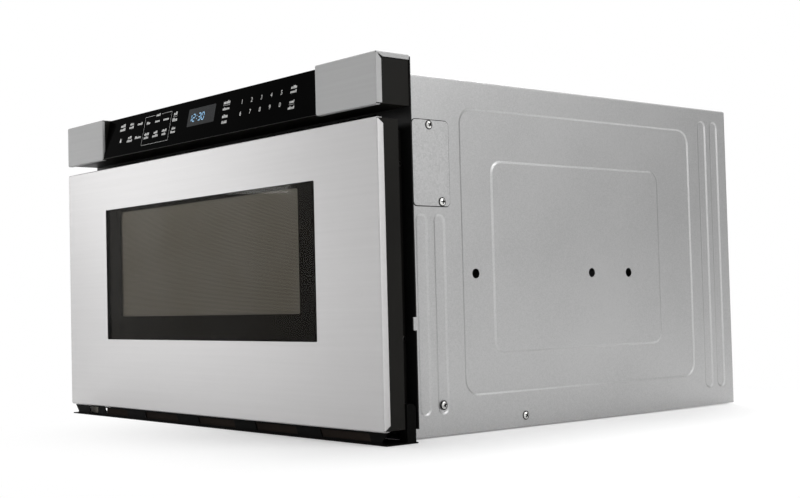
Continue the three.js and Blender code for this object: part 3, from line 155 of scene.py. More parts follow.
# %% [markdown]
# ## Textures measured in millimetres
# Blender sizes a texture in the object's own units, so a grain could come out as big as a brick.
# These helpers work in millimetres. A grained finish drives colour, gloss and relief with one
# noise, because on a real surface a pore is darker, duller and deeper at once.

# %% Texture helpers
CLOUD_SIZE = 90     # millimetres; no large surface is quite even


def millimetres(material, stretch=(1, 1, 1)):
    """Texture space in millimetres; a stretch above 1 draws the grain out that way."""
    coordinates = node(material, "TexCoord", {}).outputs["Object"]
    scale = [1 / (MM * share) for share in stretch]
    return node(material, "Mapping", {"Vector": coordinates, "Scale": scale}).outputs[0]


def noise(material, space, size, detail=2):
    """Soft noise with waves of that many millimetres."""
    inputs = {"Vector": space, "Scale": 1 / size, "Detail": detail}
    return node(material, "TexNoise", inputs).outputs[0]


def tones(material, driver, dark, light, low=0.3, high=0.7):
    """Blends from dark to light as the driver goes from low to high."""
    ramp = node(material, "ValToRGB", {"Fac": driver})
    ends = ramp.color_ramp.elements
    ends[0].position, ends[0].color = low, dark
    ends[1].position, ends[1].color = high, light
    return ramp.outputs["Color"]


def ranged(material, driver, low, high, start=0.3, end=0.7):
    """A number that goes from low to high as the driver goes from start to end."""
    limits = {"Value": driver, "From Min": start, "From Max": end, "To Min": low, "To Max": high}
    return node(material, "MapRange", limits).outputs["Result"]


def bump(material, height, depth):
    """Relief of that depth in millimetres."""
    made = node(material, "Bump", {"Height": height, "Distance": depth * MM})
    drive(material, "Normal", made.outputs["Normal"])


def grained(name, dark, light, rough, size, depth, stretch=(1, 1, 1), specular=0.5, **sockets):
    """A finish whose colour, gloss and relief follow one fine grain, over a broad faint cloud."""
    material = finish(name, Specular_IOR_Level=specular, **sockets)
    grain = noise(material, millimetres(material, stretch), size, 3)
    cloud = noise(material, millimetres(material), CLOUD_SIZE)
    half = maths(material, "MULTIPLY", maths(material, "ADD", grain, cloud), 0.5)
    drive(material, "Base Color", tones(material, half, colour(dark), colour(light), 0.38, 0.62))
    drive(material, "Roughness", ranged(material, grain, *rough))
    bump(material, grain, depth)
    return material


# %% [markdown]
# ## Brushed stainless steel
# The drawer front is stainless sheet, rubbed along its length with a fine belt. The lines could be
# cut in the mesh, but they are far finer than a pixel, so noise squeezed to long threads carries
# them in the gloss and in a relief of two microns, and anisotropy draws the highlights out. The end
# caps have a duller satin finish: the same recipe without anisotropy.

# %% Stainless finishes
THREAD_LONG, THREAD_SIZE, THREAD_DEPTH = 220, 0.45, 0.002
BAND_LONG, BAND_SIZE = 60, 5


def brushed(name, dark, light, rough, drawn_out):
    """Steel brushed along its length; drawn_out is how far highlights are pulled across that."""
    material = finish(name, Metallic=1.0, Anisotropic=drawn_out, Anisotropic_Rotation=0.25)
    tangent = node(material, "Tangent", {}, direction_type="RADIAL", axis="Z")
    drive(material, "Tangent", tangent.outputs[0])
    threads = noise(material, millimetres(material, (THREAD_LONG, 1, 1)), THREAD_SIZE)
    bands = noise(material, millimetres(material, (BAND_LONG, 1, 1)), BAND_SIZE)
    drive(material, "Base Color", tones(material, bands, colour(dark), colour(light)))
    drive(material, "Roughness", ranged(material, threads, *rough))
    bump(material, threads, THREAD_DEPTH)
    return material


front_steel = brushed("front_steel", "C2C1C1", "C5C4C4", (0.43, 0.46), 0.9)
cap_steel = brushed("cap_steel", "B5B5B5", "B8B8B8", (0.76, 0.78), 0.0)
print("stainless finishes:", front_steel.name, cap_steel.name)

# %% [markdown]
# ## Galvanised steel
# The body is hot-dip galvanised sheet. Zinc freezes in small crystals that each catch the light a
# little differently. A photo of zinc could be wrapped round, but Voronoi cells are such crystals:
# each gets one random tone and gloss, under faint clouds. The plate on the side comes from another
# coil of sheet and has a coarser grain.

# %% Galvanised finishes
ZINC_CLOUD, ZINC_GRAIN, ZINC_RELIEF = 160, 0.8, 0.012
CRYSTAL_SHARE = 0.6     # how much of the tone comes from the crystals; the rest is cloud


def spangled(name, dark, light, crystal, rough):
    """Zinc with crystals of that many millimetres."""
    material = finish(name, Metallic=0.8)
    space = millimetres(material)
    cells = node(material, "TexVoronoi", {"Vector": space, "Scale": 1 / crystal})
    tone = node(material, "SeparateColor", {"Color": cells.outputs["Color"]})
    cloud = noise(material, space, ZINC_CLOUD)
    mixed = maths(material, "MULTIPLY_ADD", tone.outputs[0], CRYSTAL_SHARE, cloud)
    drive(material, "Base Color", tones(material, mixed, colour(dark), colour(light), 0.3, 1.3))
    drive(material, "Roughness", ranged(material, tone.outputs[1], *rough, 0, 1))
    bump(material, noise(material, space, ZINC_GRAIN, 3), ZINC_RELIEF)
    return material


body_zinc = spangled("body_zinc", "AEAEAE", "BABABA", 1.3, (0.38, 0.50))
cover_zinc = spangled("cover_zinc", "AAAAAA", "BDBDBD", 1.8, (0.38, 0.52))
print("galvanised finishes:", body_zinc.name, cover_zinc.name)

# %% [markdown]
# ## Plastics, paints and plain metals
# Most other surfaces differ in only a few numbers: how dark, how glossy, how coarse the grain. One
# recipe makes them all, which keeps grain sizes honest beside each other: half a millimetre for
# moulded plastic, two for the orange peel of powder paint.

# %% Plain finishes
black_plastic = grained("black_plastic", "0E0D0B", "151411", (0.40, 0.52), 0.5, 0.02, specular=0.12)
black_paint = grained("black_paint", "080808", "101010", (0.40, 0.52), 2.0, 0.03, specular=0.2)
trim_black = grained("trim_black", "050505", "0A0A09", (0.45, 0.55), 2, 0.02, specular=0.03)
# the inner panel's own black, also used as painted shade: the line round the cover plate, the rings
# round the screws and the screw recesses
panel_black_and_painted_shade = grained("panel_black_and_painted_shade", "0C0B0A", "131210", (0.50, 0.62), 1.5, 0.02, specular=0.08)
cavity_paint = grained("cavity_paint", "8A8883", "95938E", (0.30, 0.42), 1.8, 0.02, Metallic=0.1)
zinc_plate = grained("zinc_plate", "C6C7C4", "D6D6D3", (0.22, 0.34), 3.0, 0.006, Metallic=1.0)
screw_zinc = grained("screw_zinc", "CFCFCC", "E4E4E2", (0.16, 0.28), 1.2, 0.01, Metallic=1.0)
screw_black = grained("screw_black", "2C2B2A", "373635", (0.25, 0.35), 1.2, 0.01, Metallic=0.8)
dull_aluminium = grained("dull_aluminium", "C4C6C7", "D2D4D5", (0.30, 0.44), 4.0, 0.01,
                         (12, 1, 1), Metallic=1.0)
white_ceramic = grained("white_ceramic", "DEDCD6", "E7E5DF", (0.12, 0.20), 30, 0.01,
                        Coat_Weight=0.4)
nylon = grained("nylon", "DDD5C3", "E8E1D1", (0.42, 0.52), 1.0, 0.01, Subsurface_Weight=0.05)
glide_nylon = grained("glide_nylon", "E2DACB", "F2ECE1", (0.45, 0.55), 5.0, 0.01)
mica_sheet = grained("mica_sheet", "A8977A", "C2B294", (0.45, 0.62), 7.0, 0.03, Sheen_Weight=0.2)
# the dark brown of the sheet behind the trim's slots
slot_backing_brown = grained("slot_backing_brown", "241F1C", "302A26", (0.8, 0.95), 0.8, 0.15, specular=0.03)
print("plain finishes:", len(bpy.data.materials), "materials so far")

# %% [markdown]
# ## Finishes of the parts inside
# Circuit boards are green lacquer over copper tracks: a brick pattern of thin lines under a glossy
# coat. A transformer's core is a stack of varnished iron sheets: stripes from a wave texture. Both
# would take thousands of faces as mesh.

# %% Circuit board and laminated core
BRICK, TRACK = 9, 0.045             # a brick in millimetres; a track as a share of it
STRIPES, WAVER = 0.6, 0.3           # how close the core's stripes lie, and how much they waver

circuit_green = finish("circuit_green", Roughness=0.35, Coat_Weight=0.3)
tracks = node(circuit_green, "TexBrick", {
    "Vector": millimetres(circuit_green), "Scale": 1 / BRICK, "Mortar Size": TRACK,
    "Color1": colour("1F5A35"), "Color2": colour("26663D"), "Mortar": colour("5E9A5A")},
    offset=0.37)
drive(circuit_green, "Base Color", tracks.outputs["Color"])
bump(circuit_green, tracks.outputs["Fac"], 0.03)

core_varnish = finish("core_varnish", Metallic=0.4, Coat_Weight=0.3)
sheets = node(core_varnish, "TexWave", {
    "Vector": millimetres(core_varnish), "Scale": STRIPES, "Distortion": WAVER},
    bands_direction="Y").outputs["Fac"]
drive(core_varnish, "Base Color", tones(core_varnish, sheets, colour("4A3322"), colour("7A5638")))
drive(core_varnish, "Roughness", ranged(core_varnish, sheets, 0.35, 0.6))
bump(core_varnish, sheets, 0.08)
print("board and core finishes:", circuit_green.name, core_varnish.name)

# %% [markdown]
# ## The window's finishes
# The window is a sandwich: clear glass, a border printed on its back, and a sheet of enamelled
# steel with thousands of punched holes that keeps the microwaves in. The glass transmits, with an
# index near air's, so that it mirrors as little as coated glass. The holes are too many for the
# mesh, so a regular grid of Voronoi cells darkens and sinks each one.

# %% Window finishes
HOLE_PITCH = 1.7
HOLE_RIM = (0.34, 0.46)     # from a hole to the metal, measured from its middle in pitches
GLASS_INDEX = 1.09

gloss_black = grained("gloss_black", "030303", "050505", (0.05, 0.07), 60, 0.001, specular=0.004)
window_print = grained("window_print", "0F0D0B", "13100E", (0.50, 0.60), 12, 0.002, specular=0.02)

clear_glass = finish("clear_glass", Roughness=0.0, IOR=GLASS_INDEX, Transmission_Weight=1.0)
streaks = noise(clear_glass, millimetres(clear_glass), 120)
drive(clear_glass, "Base Color", tones(clear_glass, streaks, colour("E4E1D9"), colour("EDEBE6")))

punched = finish("punched_screen", Metallic=0.2)
grid = {"Vector": millimetres(punched), "Scale": 1 / HOLE_PITCH, "Randomness": 0.0}
holes = node(punched, "TexVoronoi", grid).outputs["Distance"]
enamel = tones(punched, holes, colour("2A2724"), colour("74706A"), *HOLE_RIM)
drive(punched, "Base Color", enamel)
drive(punched, "Roughness", ranged(punched, holes, 0.75, 0.42, *HOLE_RIM))
bump(punched, ranged(punched, holes, 0, 1, *HOLE_RIM), 0.3)
print("window finishes:", clear_glass.name, window_print.name, punched.name)

# %% [markdown]
# ## Dressing the solids that stay
# Most solids only need softer edges and a finish. Solids from a file have split corner points,
# which a bevel would tear. So Weld joins the points, a planar Decimate takes out the cuts in flat
# faces, Bevel rounds the edges, and Weighted Normal keeps big faces flat in the light. A face
# pierced by many holes keeps its cuts, because one polygon can't go round several holes without
# crossing itself.

# %% Dressing
PIERCED = ("front_flange", "inner_panel", "rear_panel", "magnetron")


def soften(thing, edge):
    """Rounds the sharp edges by that many millimetres and evens out the shading."""
    bevel = thing.modifiers.new("edges", "BEVEL")
    bevel.width = edge * MM
    bevel.segments = 2
    bevel.limit_method = "ANGLE"
    bevel.angle_limit = math.radians(35)
    bevel.miter_outer = "MITER_ARC"
    shading = thing.modifiers.new("flat_faces_first", "WEIGHTED_NORMAL")
    shading.weight = 80
    thing.data.polygons.foreach_set("use_smooth", [True] * len(thing.data.polygons))


def dress(names, material, edge=0.3):
    """Gives solids of the frame their finish and soft edges."""
    for name in names.split():
        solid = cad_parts[name]
        solid.data.materials.clear()
        solid.data.materials.append(material)
        weld = solid.modifiers.new("join_points", "WELD")
        weld.merge_threshold = 0.01 * MM
        if name not in PIERCED:
            flat = solid.modifiers.new("clean_flats", "DECIMATE")
            flat.decimate_type = "DISSOLVE"
            flat.angle_limit = math.radians(1)
        soften(solid, edge)
    print(material.name, "on", names)


# %% [markdown]
# Now every solid gets its finish, by what the real part is made of, as in a parts list. The number
# is how far its edges are rounded in millimetres: least on boards, most on ceramics.

# %% Finishes for the solids
dress("drawer_frame head_housing fan_housing fan_impeller air_duct cord_gland thermal_cutout",
      black_plastic)
dress("switch_left switch_right hv_diode display_module choke_cover", black_plastic, 0.2)
dress("front_flange", black_paint, 0.25)
dress("inner_panel", panel_black_and_painted_shade, 0.4)
dress("control_glass", gloss_black, 0.5)
dress("inner_window", clear_glass)
dress("window_screen", punched, 0.2)
dress("oven_cavity drawer_tray", cavity_paint)
dress("base_plate rear_panel", body_zinc)
for side in ("left", "right"):
    dress(f"rail_outer_{side} rail_middle_{side} rail_inner_{side} drawer_arm_{side}", zinc_plate)
dress("stirrer_motor fan_motor drive_motor", zinc_plate, 0.5)
dress("waveguide magnetron stirrer_blade hv_capacitor", dull_aluminium, 0.2)
dress("hv_transformer", core_varnish, 0.4)
dress("noise_filter_board power_board control_board", circuit_green, 0.15)
dress("tray_plate oven_lamp", white_ceramic, 0.6)
dress("stirrer_cover", mica_sheet, 0.2)
dress("drive_rack drive_pinion plunger_left plunger_right", nylon, 0.15)
dress("glide_pad", glide_nylon, 0.6)

# %% [markdown]
# ## Tools for sheet metal
# A stamped sheet could be sculpted, subdivided or displaced. Stamping is flat drawing with heights,
# though, so the simplest true way is to draw it, from closed outlines.

# %% Outlines
SMOOTH = 8      # points in a quarter round


def box(a0, a1, b0, b1):
    return [(a0, b0), (a1, b0), (a1, b1), (a0, b1)]


def rounded(a0, a1, b0, b1, radius, steps=SMOOTH):
    """Counter-clockwise outline of a rectangle with round corners."""
    loop = []
    corners = ((a1 - radius, b0 + radius), (a1 - radius, b1 - radius),
               (a0 + radius, b1 - radius), (a0 + radius, b0 + radius))
    for quarter, (a, b) in enumerate(corners):
        for step in range(steps + 1):
            angle = math.pi / 2 * (quarter - 1 + step / steps)
            loop.append((a + radius * math.cos(angle), b + radius * math.sin(angle)))
    return loop


def grown(shape, grow):
    """Outline of a rounded rectangle, made larger all round."""
    a0, a1, b0, b1, radius = shape
    return rounded(a0 - grow, a1 + grow, b0 - grow, b1 + grow, radius + grow)


def ring(a, b, radius, steps=24):
    """Counter-clockwise outline of a circle."""
    turns = [2 * math.pi * step / steps for step in range(steps)]
    return [(a + radius * math.cos(turn), b + radius * math.sin(turn)) for turn in turns]


def inside(point, loop):
    """Whether a point lies in an outline, by counting the sides to its right."""
    a, b = point
    crossings = 0
    for (a0, b0), (a1, b1) in zip(loop, loop[1:] + loop[:1]):
        if (b0 > b) != (b1 > b) and a < a0 + (b - b0) / (b1 - b0) * (a1 - a0):
            crossings += 1
    return crossings % 2 == 1


# %% [markdown]
# Each outline has a depth of its own. A Delaunay triangulation joins them all and keeps every
# outline as an edge, where a grid with moved points would give ragged ones.

# %% Triangulated drawing
def drawn_sheet(bm, levels, holes, to_point, flip=False):
    """Adds a flat drawing to bm. levels are (outline, depth) with the outer edge first; holes too,
    and they are cut out. to_point turns (a, b, depth) into a place."""
    points, depths, edges = [], [], []
    for loop, depth in levels + holes:
        start = len(points)
        points += [Vector(point) for point in loop]
        depths += [depth] * len(loop)
        edges += [(start + step, start + (step + 1) % len(loop)) for step in range(len(loop))]
    flat, _, faces, origins, _, _ = delaunay_2d_cdt(points, edges, [], 0, 1e-5)
    outer = levels[0][0]
    cut_outs = [loop for loop, _ in holes]
    corners = [bm.verts.new(to_point(point.x, point.y, depths[source[0]]))
               for point, source in zip(flat, origins)]
    for face in faces:
        middle = sum((flat[corner] for corner in face), Vector((0, 0))) / len(face)
        if not inside(middle, outer) or any(inside(middle, loop) for loop in cut_outs):
            continue
        order = reversed(face) if flip else face
        bm.faces.new([corners[corner] for corner in order])


def slope(shape, start, end, width, steps=6):
    """Outlines that step inwards over a pressed edge, on a soft S-curve between two depths."""
    levels = []
    for step in range(steps + 1):
        share = step / steps
        soft = share * share * (3 - 2 * share)
        levels.append((grown(shape, width / 2 - width * share), start + (end - start) * soft))
    return levels


# %% [markdown]
# A fold is made as a brake press makes it: the edge of a flat sheet is carried on round a small
# quarter circle and then straight on. A bevel could round a corner as well, but not trim the flap.
# The helper returns the corners of the straight part, so the next fold can start from it.

# %% Folds
def fold(bm, first, last, out, down, radius, reach, slant=(0, 0), steps=5, flip=False):
    """Bends a sheet on past the edge first-last. out is the sheet's own direction there, down is
    the way it turns, and slant trims the two ends of the flap."""
    along = (last.co - first.co).normalized()
    ends = [first.co.copy(), last.co.copy()]
    rows = [(first, last)]
    for step in range(1, steps + 1):
        angle = math.pi / 2 * step / steps
        shift = out * (radius * math.sin(angle)) + down * (radius * (1 - math.cos(angle)))
        rows.append(tuple(bm.verts.new(end + shift * MM) for end in ends))
    far = out * radius + down * reach
    trims = (along * slant[0], -along * slant[1])
    rows.append(tuple(bm.verts.new(end + (far + trim) * MM) for end, trim in zip(ends, trims)))
    for (a, b), (c, d) in zip(rows, rows[1:]):
        bm.faces.new((a, b, d, c) if flip else (b, a, c, d))
    return rows[-2] + rows[-1]


# %% [markdown]
# A mesh becomes a piece of the scene in one place only. Thickness and soft edges are modifiers, so
# a drawing stays simple.

# %% Making an object of a mesh
def mesh_object(name, bm, material):
    """Ends the drawing bm and makes an object of it."""
    mesh = bpy.data.meshes.new(name)
    bm.to_mesh(mesh)
    bm.free()
    mesh.materials.append(material)
    return add_object(name, mesh)


def piece(name, bm, material, slot, nodes="", sheet=0, edge=0, body="housing"):
    """Puts a mesh in the scene, on a body, in place of some solids."""
    bmesh.ops.remove_doubles(bm, verts=bm.verts, dist=0.001 * MM)
    thing = mesh_object(name, bm, material)
    if sheet:
        solidify = thing.modifiers.new("sheet", "SOLIDIFY")
        solidify.thickness = sheet * MM
        solidify.offset = -1
        solidify.use_even_offset = True
    if edge:
        soften(thing, edge)
    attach(thing, body)
    if nodes:
        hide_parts(*nodes.split())
    print(name, len(thing.data.polygons), "faces on", body)
    return thing


# %% [markdown]
# ## The body's wrapper
# One long sheet of galvanised steel runs up one side, over the top and down the other. Its sides
# would drum if they were flat, so a broad frame is pressed in round a raised field, with two
# upright ribs before and two behind it. The pressed edges are drawn as soft slopes of seven
# outlines each, because those slopes are what catches the light.

# %% Wrapper
BODY_OUT, BODY_TOP, BODY_LOW = 352.5, 425.7, 1.8
BODY_FRONT, BODY_BACK = 51.3, 679
TOP_BEND, FRONT_BEND, FRONT_LIP = 3, 4, 0.5
PRESS_DEPTH, PRESS_SLOPE = 1.2, 3.6
FIELD = (150.2, 590.4, 46, 391.1, 19.5)     # y, y, z, z and corner radius, as for all such boxes
RAISED = (201.7, 519.8, 95.2, 328.9, 15)
RIBS = ((85.5, 15.4, 261), (113.6, 15.4, 261), (623.8, 16, 407.1), (651.4, 16, 407.1))
RIB_LOW = 27.4
RIB_FLAT = 0.3      # the straight bit at the middle of a rib's round end
SIDE_HOLES = ((172, PRESS_DEPTH), (380.2, 0), (454, 0))
SIDE_HOLE_Z, SIDE_HOLE_RADIUS = 191.5, 6

front, top = BODY_FRONT + FRONT_BEND, BODY_TOP - TOP_BEND
levels = [(box(front, BODY_BACK, BODY_LOW, top), 0)]
levels += slope(FIELD, 0, PRESS_DEPTH, PRESS_SLOPE) + slope(RAISED, PRESS_DEPTH, 0, PRESS_SLOPE)
for middle, width, high in RIBS:
    rib = (middle - width / 2, middle + width / 2, RIB_LOW, high, width / 2 - RIB_FLAT)
    levels += slope(rib, 0, PRESS_DEPTH, PRESS_SLOPE)
holes = [(ring(y, SIDE_HOLE_Z, SIDE_HOLE_RADIUS), depth) for y, depth in SIDE_HOLES]
upwards, forwards = Vector((0, 0, 1)), Vector((0, -1, 0))
bm = bmesh.new()
for side in (-1, 1):
    drawn_sheet(bm, levels, holes,
                lambda y, z, depth: place(side * (BODY_OUT - depth), y, z), flip=side < 0)
    inwards = Vector((-side, 0, 0))
    rear, near, foot = [bm.verts.new(place(side * BODY_OUT, y, z)) for y, z in (
        (BODY_BACK, top), (front, top), (front, BODY_LOW))]
    fold(bm, rear, near, upwards, inwards, TOP_BEND, BODY_OUT, flip=side < 0)
    fold(bm, near, foot, forwards, inwards, FRONT_BEND, FRONT_BEND + FRONT_LIP, flip=side < 0)
piece("body_wrapper", bm, body_zinc, "galvanised_steel", "outer_wrapper",
      sheet=1, edge=0.15)

# %% [markdown]
# ## The cover plate
# A thin plate with round corners closes an opening behind the flange. Round its edge shows a thin
# dark line, the shade in the gap under the plate. A texture could paint the line; here that painted
# shade is a black sheet of its own, a little larger than the plate and open in the middle, which
# stays right from every side.

# %% Cover plate
COVER = (73.8, 130.6, 271.4, 372.6, 5.5)
COVER_FACE, COVER_SHEET, COVER_RIM = 353.6, 0.8, 1.2
# the painted shade round the plate: how far it shows, how far it hides under the plate, how thick
SHADE_STRIP_PROUD, SHADE_STRIP_HIDDEN, SHADE_STRIP_THICK = 0.9, 2, 0.28

bm = bmesh.new()
drawn_sheet(bm, [(grown(COVER, 0), 0), (grown(COVER, -COVER_RIM), 0)], [],
            lambda y, z, depth: place(COVER_FACE - depth, y, z))
piece("side_cover", bm, cover_zinc, "galvanised_steel", "access_cover",
      sheet=COVER_SHEET, edge=0.15)

# painted shade: a thin black sheet round the plate's edge, drawn as the dark line of the gap under
# it
bm = bmesh.new()
drawn_sheet(bm, [(grown(COVER, SHADE_STRIP_PROUD), 0)], [(grown(COVER, -SHADE_STRIP_HIDDEN), 0)],
            lambda y, z, depth: place(BODY_OUT + SHADE_STRIP_THICK - depth, y, z))
piece("side_cover_shade_strip", bm, panel_black_and_painted_shade, "black_plastic", sheet=SHADE_STRIP_THICK)

# %% [markdown]
# ## A pan-head screw
# A screw head could be a squashed sphere with a cross cut out by a boolean. It is cleaner drawn as
# a relief: circles that rise to a dome, and a cross with a second, smaller one a millimetre deeper,
# which gives the tapered walls of a real recess. Little light gets down there, so the faces of the
# recess are given a painted shade of black.

# %% Screw head
HEAD_RADIUS, HEAD_RIM, HEAD_DOME = 4.5, 0.8, 1.6
DOME_SHAPE = 1.3                            # 1 is half an ellipse; more is flatter at the rim
DOME_RINGS = (0.985, 0.95, 0.88, 0.78)      # shares of the radius
MOUTH, TIP = (2.9, 0.85), (2.5, 0.5)        # the cross at its opening and at its bottom
MOUTH_SHARE, RECESS = 0.5, 1.3


def cross(arm, half):
    """Counter-clockwise outline of a plus sign."""
    quarter = ((arm, -half), (arm, half), (half, half))
    return [(a * c - b * s, a * s + b * c)
            for c, s in ((1, 0), (0, 1), (-1, 0), (0, -1)) for a, b in quarter]


def dome(share):
    """How high the head stands at that share of its radius."""
    return HEAD_RIM + HEAD_DOME * math.sqrt(1 - share * share) ** DOME_SHAPE


def pan_head(name, centre, out, radius, material, turn, nodes="", slot="zinc_steel", **riding):
    """A screw seated at centre, with its head towards out and its cross turned by some radians."""
    scale = radius / HEAD_RADIUS
    side = out.orthogonal().normalized()
    across = side * math.cos(turn) + out.cross(side) * math.sin(turn)
    upward = out.cross(across)

    def to_point(a, b, height):
        return centre + (across * a + upward * b + out * height) * scale * MM

    rim, mouth = ring(0, 0, HEAD_RADIUS), cross(*MOUTH)
    levels = [(rim, HEAD_RIM)]
    levels += [(ring(0, 0, HEAD_RADIUS * share), dome(share)) for share in DOME_RINGS]
    levels += [(mouth, dome(MOUTH_SHARE)), (cross(*TIP), dome(MOUTH_SHARE) - RECESS)]
    bm = bmesh.new()
    drawn_sheet(bm, levels, [], to_point)
    top, low = ([bm.verts.new(to_point(a, b, z)) for a, b in rim] for z in (HEAD_RIM, 0))
    for step in range(len(top)):
        after = (step + 1) % len(top)
        bm.faces.new((low[step], low[after], top[after], top[step]))
    bm.faces.new(reversed(low))
    thing = piece(name, bm, material, slot, nodes, **riding)
    # the faces inside the cross get the black of painted shade
    thing.data.materials.append(panel_black_and_painted_shade)
    for face in thing.data.polygons:
        offset = (face.center - centre) / (scale * MM)
        in_mouth = inside((offset.dot(across), offset.dot(upward)), mouth)
        face.material_index = int(in_mouth and offset.dot(out) > 0)
    thing.data.shade_smooth()
    thing.data.set_sharp_from_angle(angle=math.radians(40))


# %% [markdown]
# ## The side's screws
# Two screws hold the cover plate and two the wrapper. Round each head lies a thin black ring,
# painted shade for the shadow in the gap under the head. One mesh could serve all four, but no
# fitter stops two screws at the same angle, so each has its own turn.

# %% Side screws
OUTWARD = Vector((1, 0, 0))
SCREWS = (("cover_screw_upper", COVER_FACE, 99.8, 367, "access_screw_upper"),
          ("cover_screw_lower", COVER_FACE, 117.9, 276.6, "access_screw_lower"),
          ("rib_pan_screw", BODY_OUT, 113.6, 37.2, "rib_screw"),
          ("base_pan_screw", BODY_OUT, 249.5, 15.3, "base_screw"))
FIRST_TURN, NEXT_TURN = 0.2, 0.5
SHADE_RING_PROUD, SHADE_RING_HIDDEN, SHADE_RING_THICK = 1.1, 1.5, 0.25

for number, (name, x, y, z, solid) in enumerate(SCREWS):
    pan_head(name, place(x, y, z), OUTWARD, HEAD_RADIUS, screw_zinc,
             FIRST_TURN + NEXT_TURN * number, solid)

# painted shade: a thin black ring round each side screw's head
bm = bmesh.new()
for _, x, y, z, _ in SCREWS:
    outer, inner = (ring(y, z, HEAD_RADIUS + grow) for grow in (SHADE_RING_PROUD, -SHADE_RING_HIDDEN))
    drawn_sheet(bm, [(outer, 0)], [(inner, 0)],
                lambda a, b, depth, x=x: place(x + SHADE_RING_THICK - depth, a, b))
piece("side_screw_shade_rings", bm, panel_black_and_painted_shade, "black_plastic", sheet=SHADE_RING_THICK)

# %% [markdown]
# ## The drawer's stainless front
# A sheet of stainless steel is folded back round all four sides of a plastic frame, and the flaps
# at its sides are cut slantwise at their ends. A solid slab would look like a lid; the soft fold
# line and the thin flap are what tells the eye that it is sheet.

# %% Drawer front
SKIN = (379, 15.3, 367.1)       # half the width, foot and top
SKIN_BEND, SKIN_REACH = 1.9, 9.3
HEM_SLANT, HEM_EASE = 5.5, 0.4
GLASS = (-258.8, 258.8, 114.75, 305.45, 2)
BACKWARD, UPWARD, LEFTWARD = Vector((0, 1, 0)), Vector((0, 0, 1)), Vector((-1, 0, 0))


def folded_plate(bm, a0, a1, z0, z1, holes=()):
    """A flat face at the front plane; returns its corners counter-clockwise from the lower left."""
    edge = box(a0, a1, z0, z1)
    drawn_sheet(bm, [(edge, 0)], [(loop, 0) for loop in holes],
                lambda x, z, depth: place(x, depth, z))
    return [bm.verts.new(place(x, 0, z)) for x, z in edge]


half, low, high = SKIN
bm = bmesh.new()
a, b, c, d = folded_plate(bm, SKIN_BEND - half, half - SKIN_BEND, low + SKIN_BEND,
                          high - SKIN_BEND, [rounded(*GLASS, steps=3)])
for first, last, out, trim in ((a, b, -UPWARD, HEM_EASE), (b, c, OUTWARD, HEM_SLANT),
                               (c, d, UPWARD, HEM_EASE), (d, a, LEFTWARD, HEM_SLANT)):
    fold(bm, first, last, out, BACKWARD, SKIN_BEND, SKIN_REACH, (trim, trim))
piece("drawer_front_sheet", bm, front_steel, "stainless_steel", "drawer_skin",
      sheet=1, edge=0.12, body="drawer")

# %% [markdown]
# ## Blocks
# Some things are plain blocks with a drawn outline: a pane, an ear, a printed bar. Solidify could
# thicken a drawing, but a block made in code is closed from the start, and blocks of different
# thickness can share one mesh.

# %% Block helpers
def slab(bm, loop, near, far, to_point):
    """A closed block between two depths."""
    front, back = ([bm.verts.new(to_point(a, b, depth)) for a, b in loop] for depth in (near, far))
    bm.faces.new(front)
    bm.faces.new(reversed(back))
    for step in range(len(loop)):
        after = (step + 1) % len(loop)
        bm.faces.new((front[after], front[step], back[step], back[after]))


def facing(x, z, depth):
    """For drawings that are seen from the front."""
    return place(x, depth, z)


# %% [markdown]
# ## The trim under the drawer
# Below the drawer runs a black pressing: a foot plate, a low wall with slanting air slots, and an
# ear at each end. Dark brown shows through the slots, so a dark brown sheet lies close behind them.
# So the wall is one drawing with cut-outs and the sheet a second piece. The opening at the left
# shows the pad that the drawer glides on.

# %% Bottom trim
TRIM_OUT, TRIM_LOW, TRIM_TOP = 379.5, 0.3, 1.8
TRIM_FRONT, TRIM_REAR = 3, 49.2
WALL_Y, WALL_SHEET, WALL_HIGH = 6, 1.5, 14.2
WALL_TIP, WALL_NOTCH, WALL_FOOT, NOTCH_Z = 377, 367.4, 369.4, 4.1
SLOT_LOW, SLOT_HIGH, SLOT_LEAN = 3.6, 12.6, 4
AIR_SLOTS = ((-283, -215.5), (-162.9, -74.8), (-20.3, 67.5), (115.6, 203.9), (252.3, 344.4))
PAD_OPENING = box(-331, -303.5, 2.4, 13)
EAR_FRONT, EAR_BACK, EAR_TOP, EAR_CHAMFER = 33, 46.2, 45, 4
EAR_IN, EAR_FOOT = 365, 372.3
# a dark brown sheet behind the slots, for the dark brown that shows through them
SLOT_BACKING, SLOT_BACKING_THICK = box(-278.5, 350, 2.1, 13.6), 2

bm = bmesh.new()
left = [(-WALL_TIP, WALL_HIGH), (-WALL_NOTCH, NOTCH_Z), (-WALL_FOOT, TRIM_TOP)]
edge = left + [(-x, z) for x, z in reversed(left)]
slots = [[(x0 + SLOT_LEAN, SLOT_LOW), (x1 + SLOT_LEAN, SLOT_LOW), (x1, SLOT_HIGH),
          (x0, SLOT_HIGH)] for x0, x1 in AIR_SLOTS]
drawn_sheet(bm, [(edge, WALL_Y)], [(loop, WALL_Y) for loop in slots + [PAD_OPENING]], facing)
piece("trim_wall", bm, trim_black, "black_paint", sheet=WALL_SHEET)

bm = bmesh.new()
slab(bm, box(-TRIM_OUT, TRIM_OUT, TRIM_LOW, TRIM_TOP), TRIM_FRONT, TRIM_REAR, facing)
ear = [(EAR_FRONT, TRIM_TOP), (EAR_BACK, TRIM_TOP), (EAR_BACK, EAR_TOP - EAR_CHAMFER),
       (EAR_BACK - EAR_CHAMFER, EAR_TOP), (EAR_FRONT, EAR_TOP)]
foot = box(EAR_BACK, TRIM_REAR, TRIM_TOP, EAR_TOP - EAR_CHAMFER)
for side in (-1, 1):
    for loop, reach in ((ear, TRIM_OUT), (foot, EAR_FOOT)):
        spans = sorted((side * EAR_IN, side * reach), reverse=True)
        slab(bm, loop, *spans, lambda y, z, x: place(x, y, z))
piece("trim_plate", bm, trim_black, "black_paint", "bottom_trim", edge=0.3)

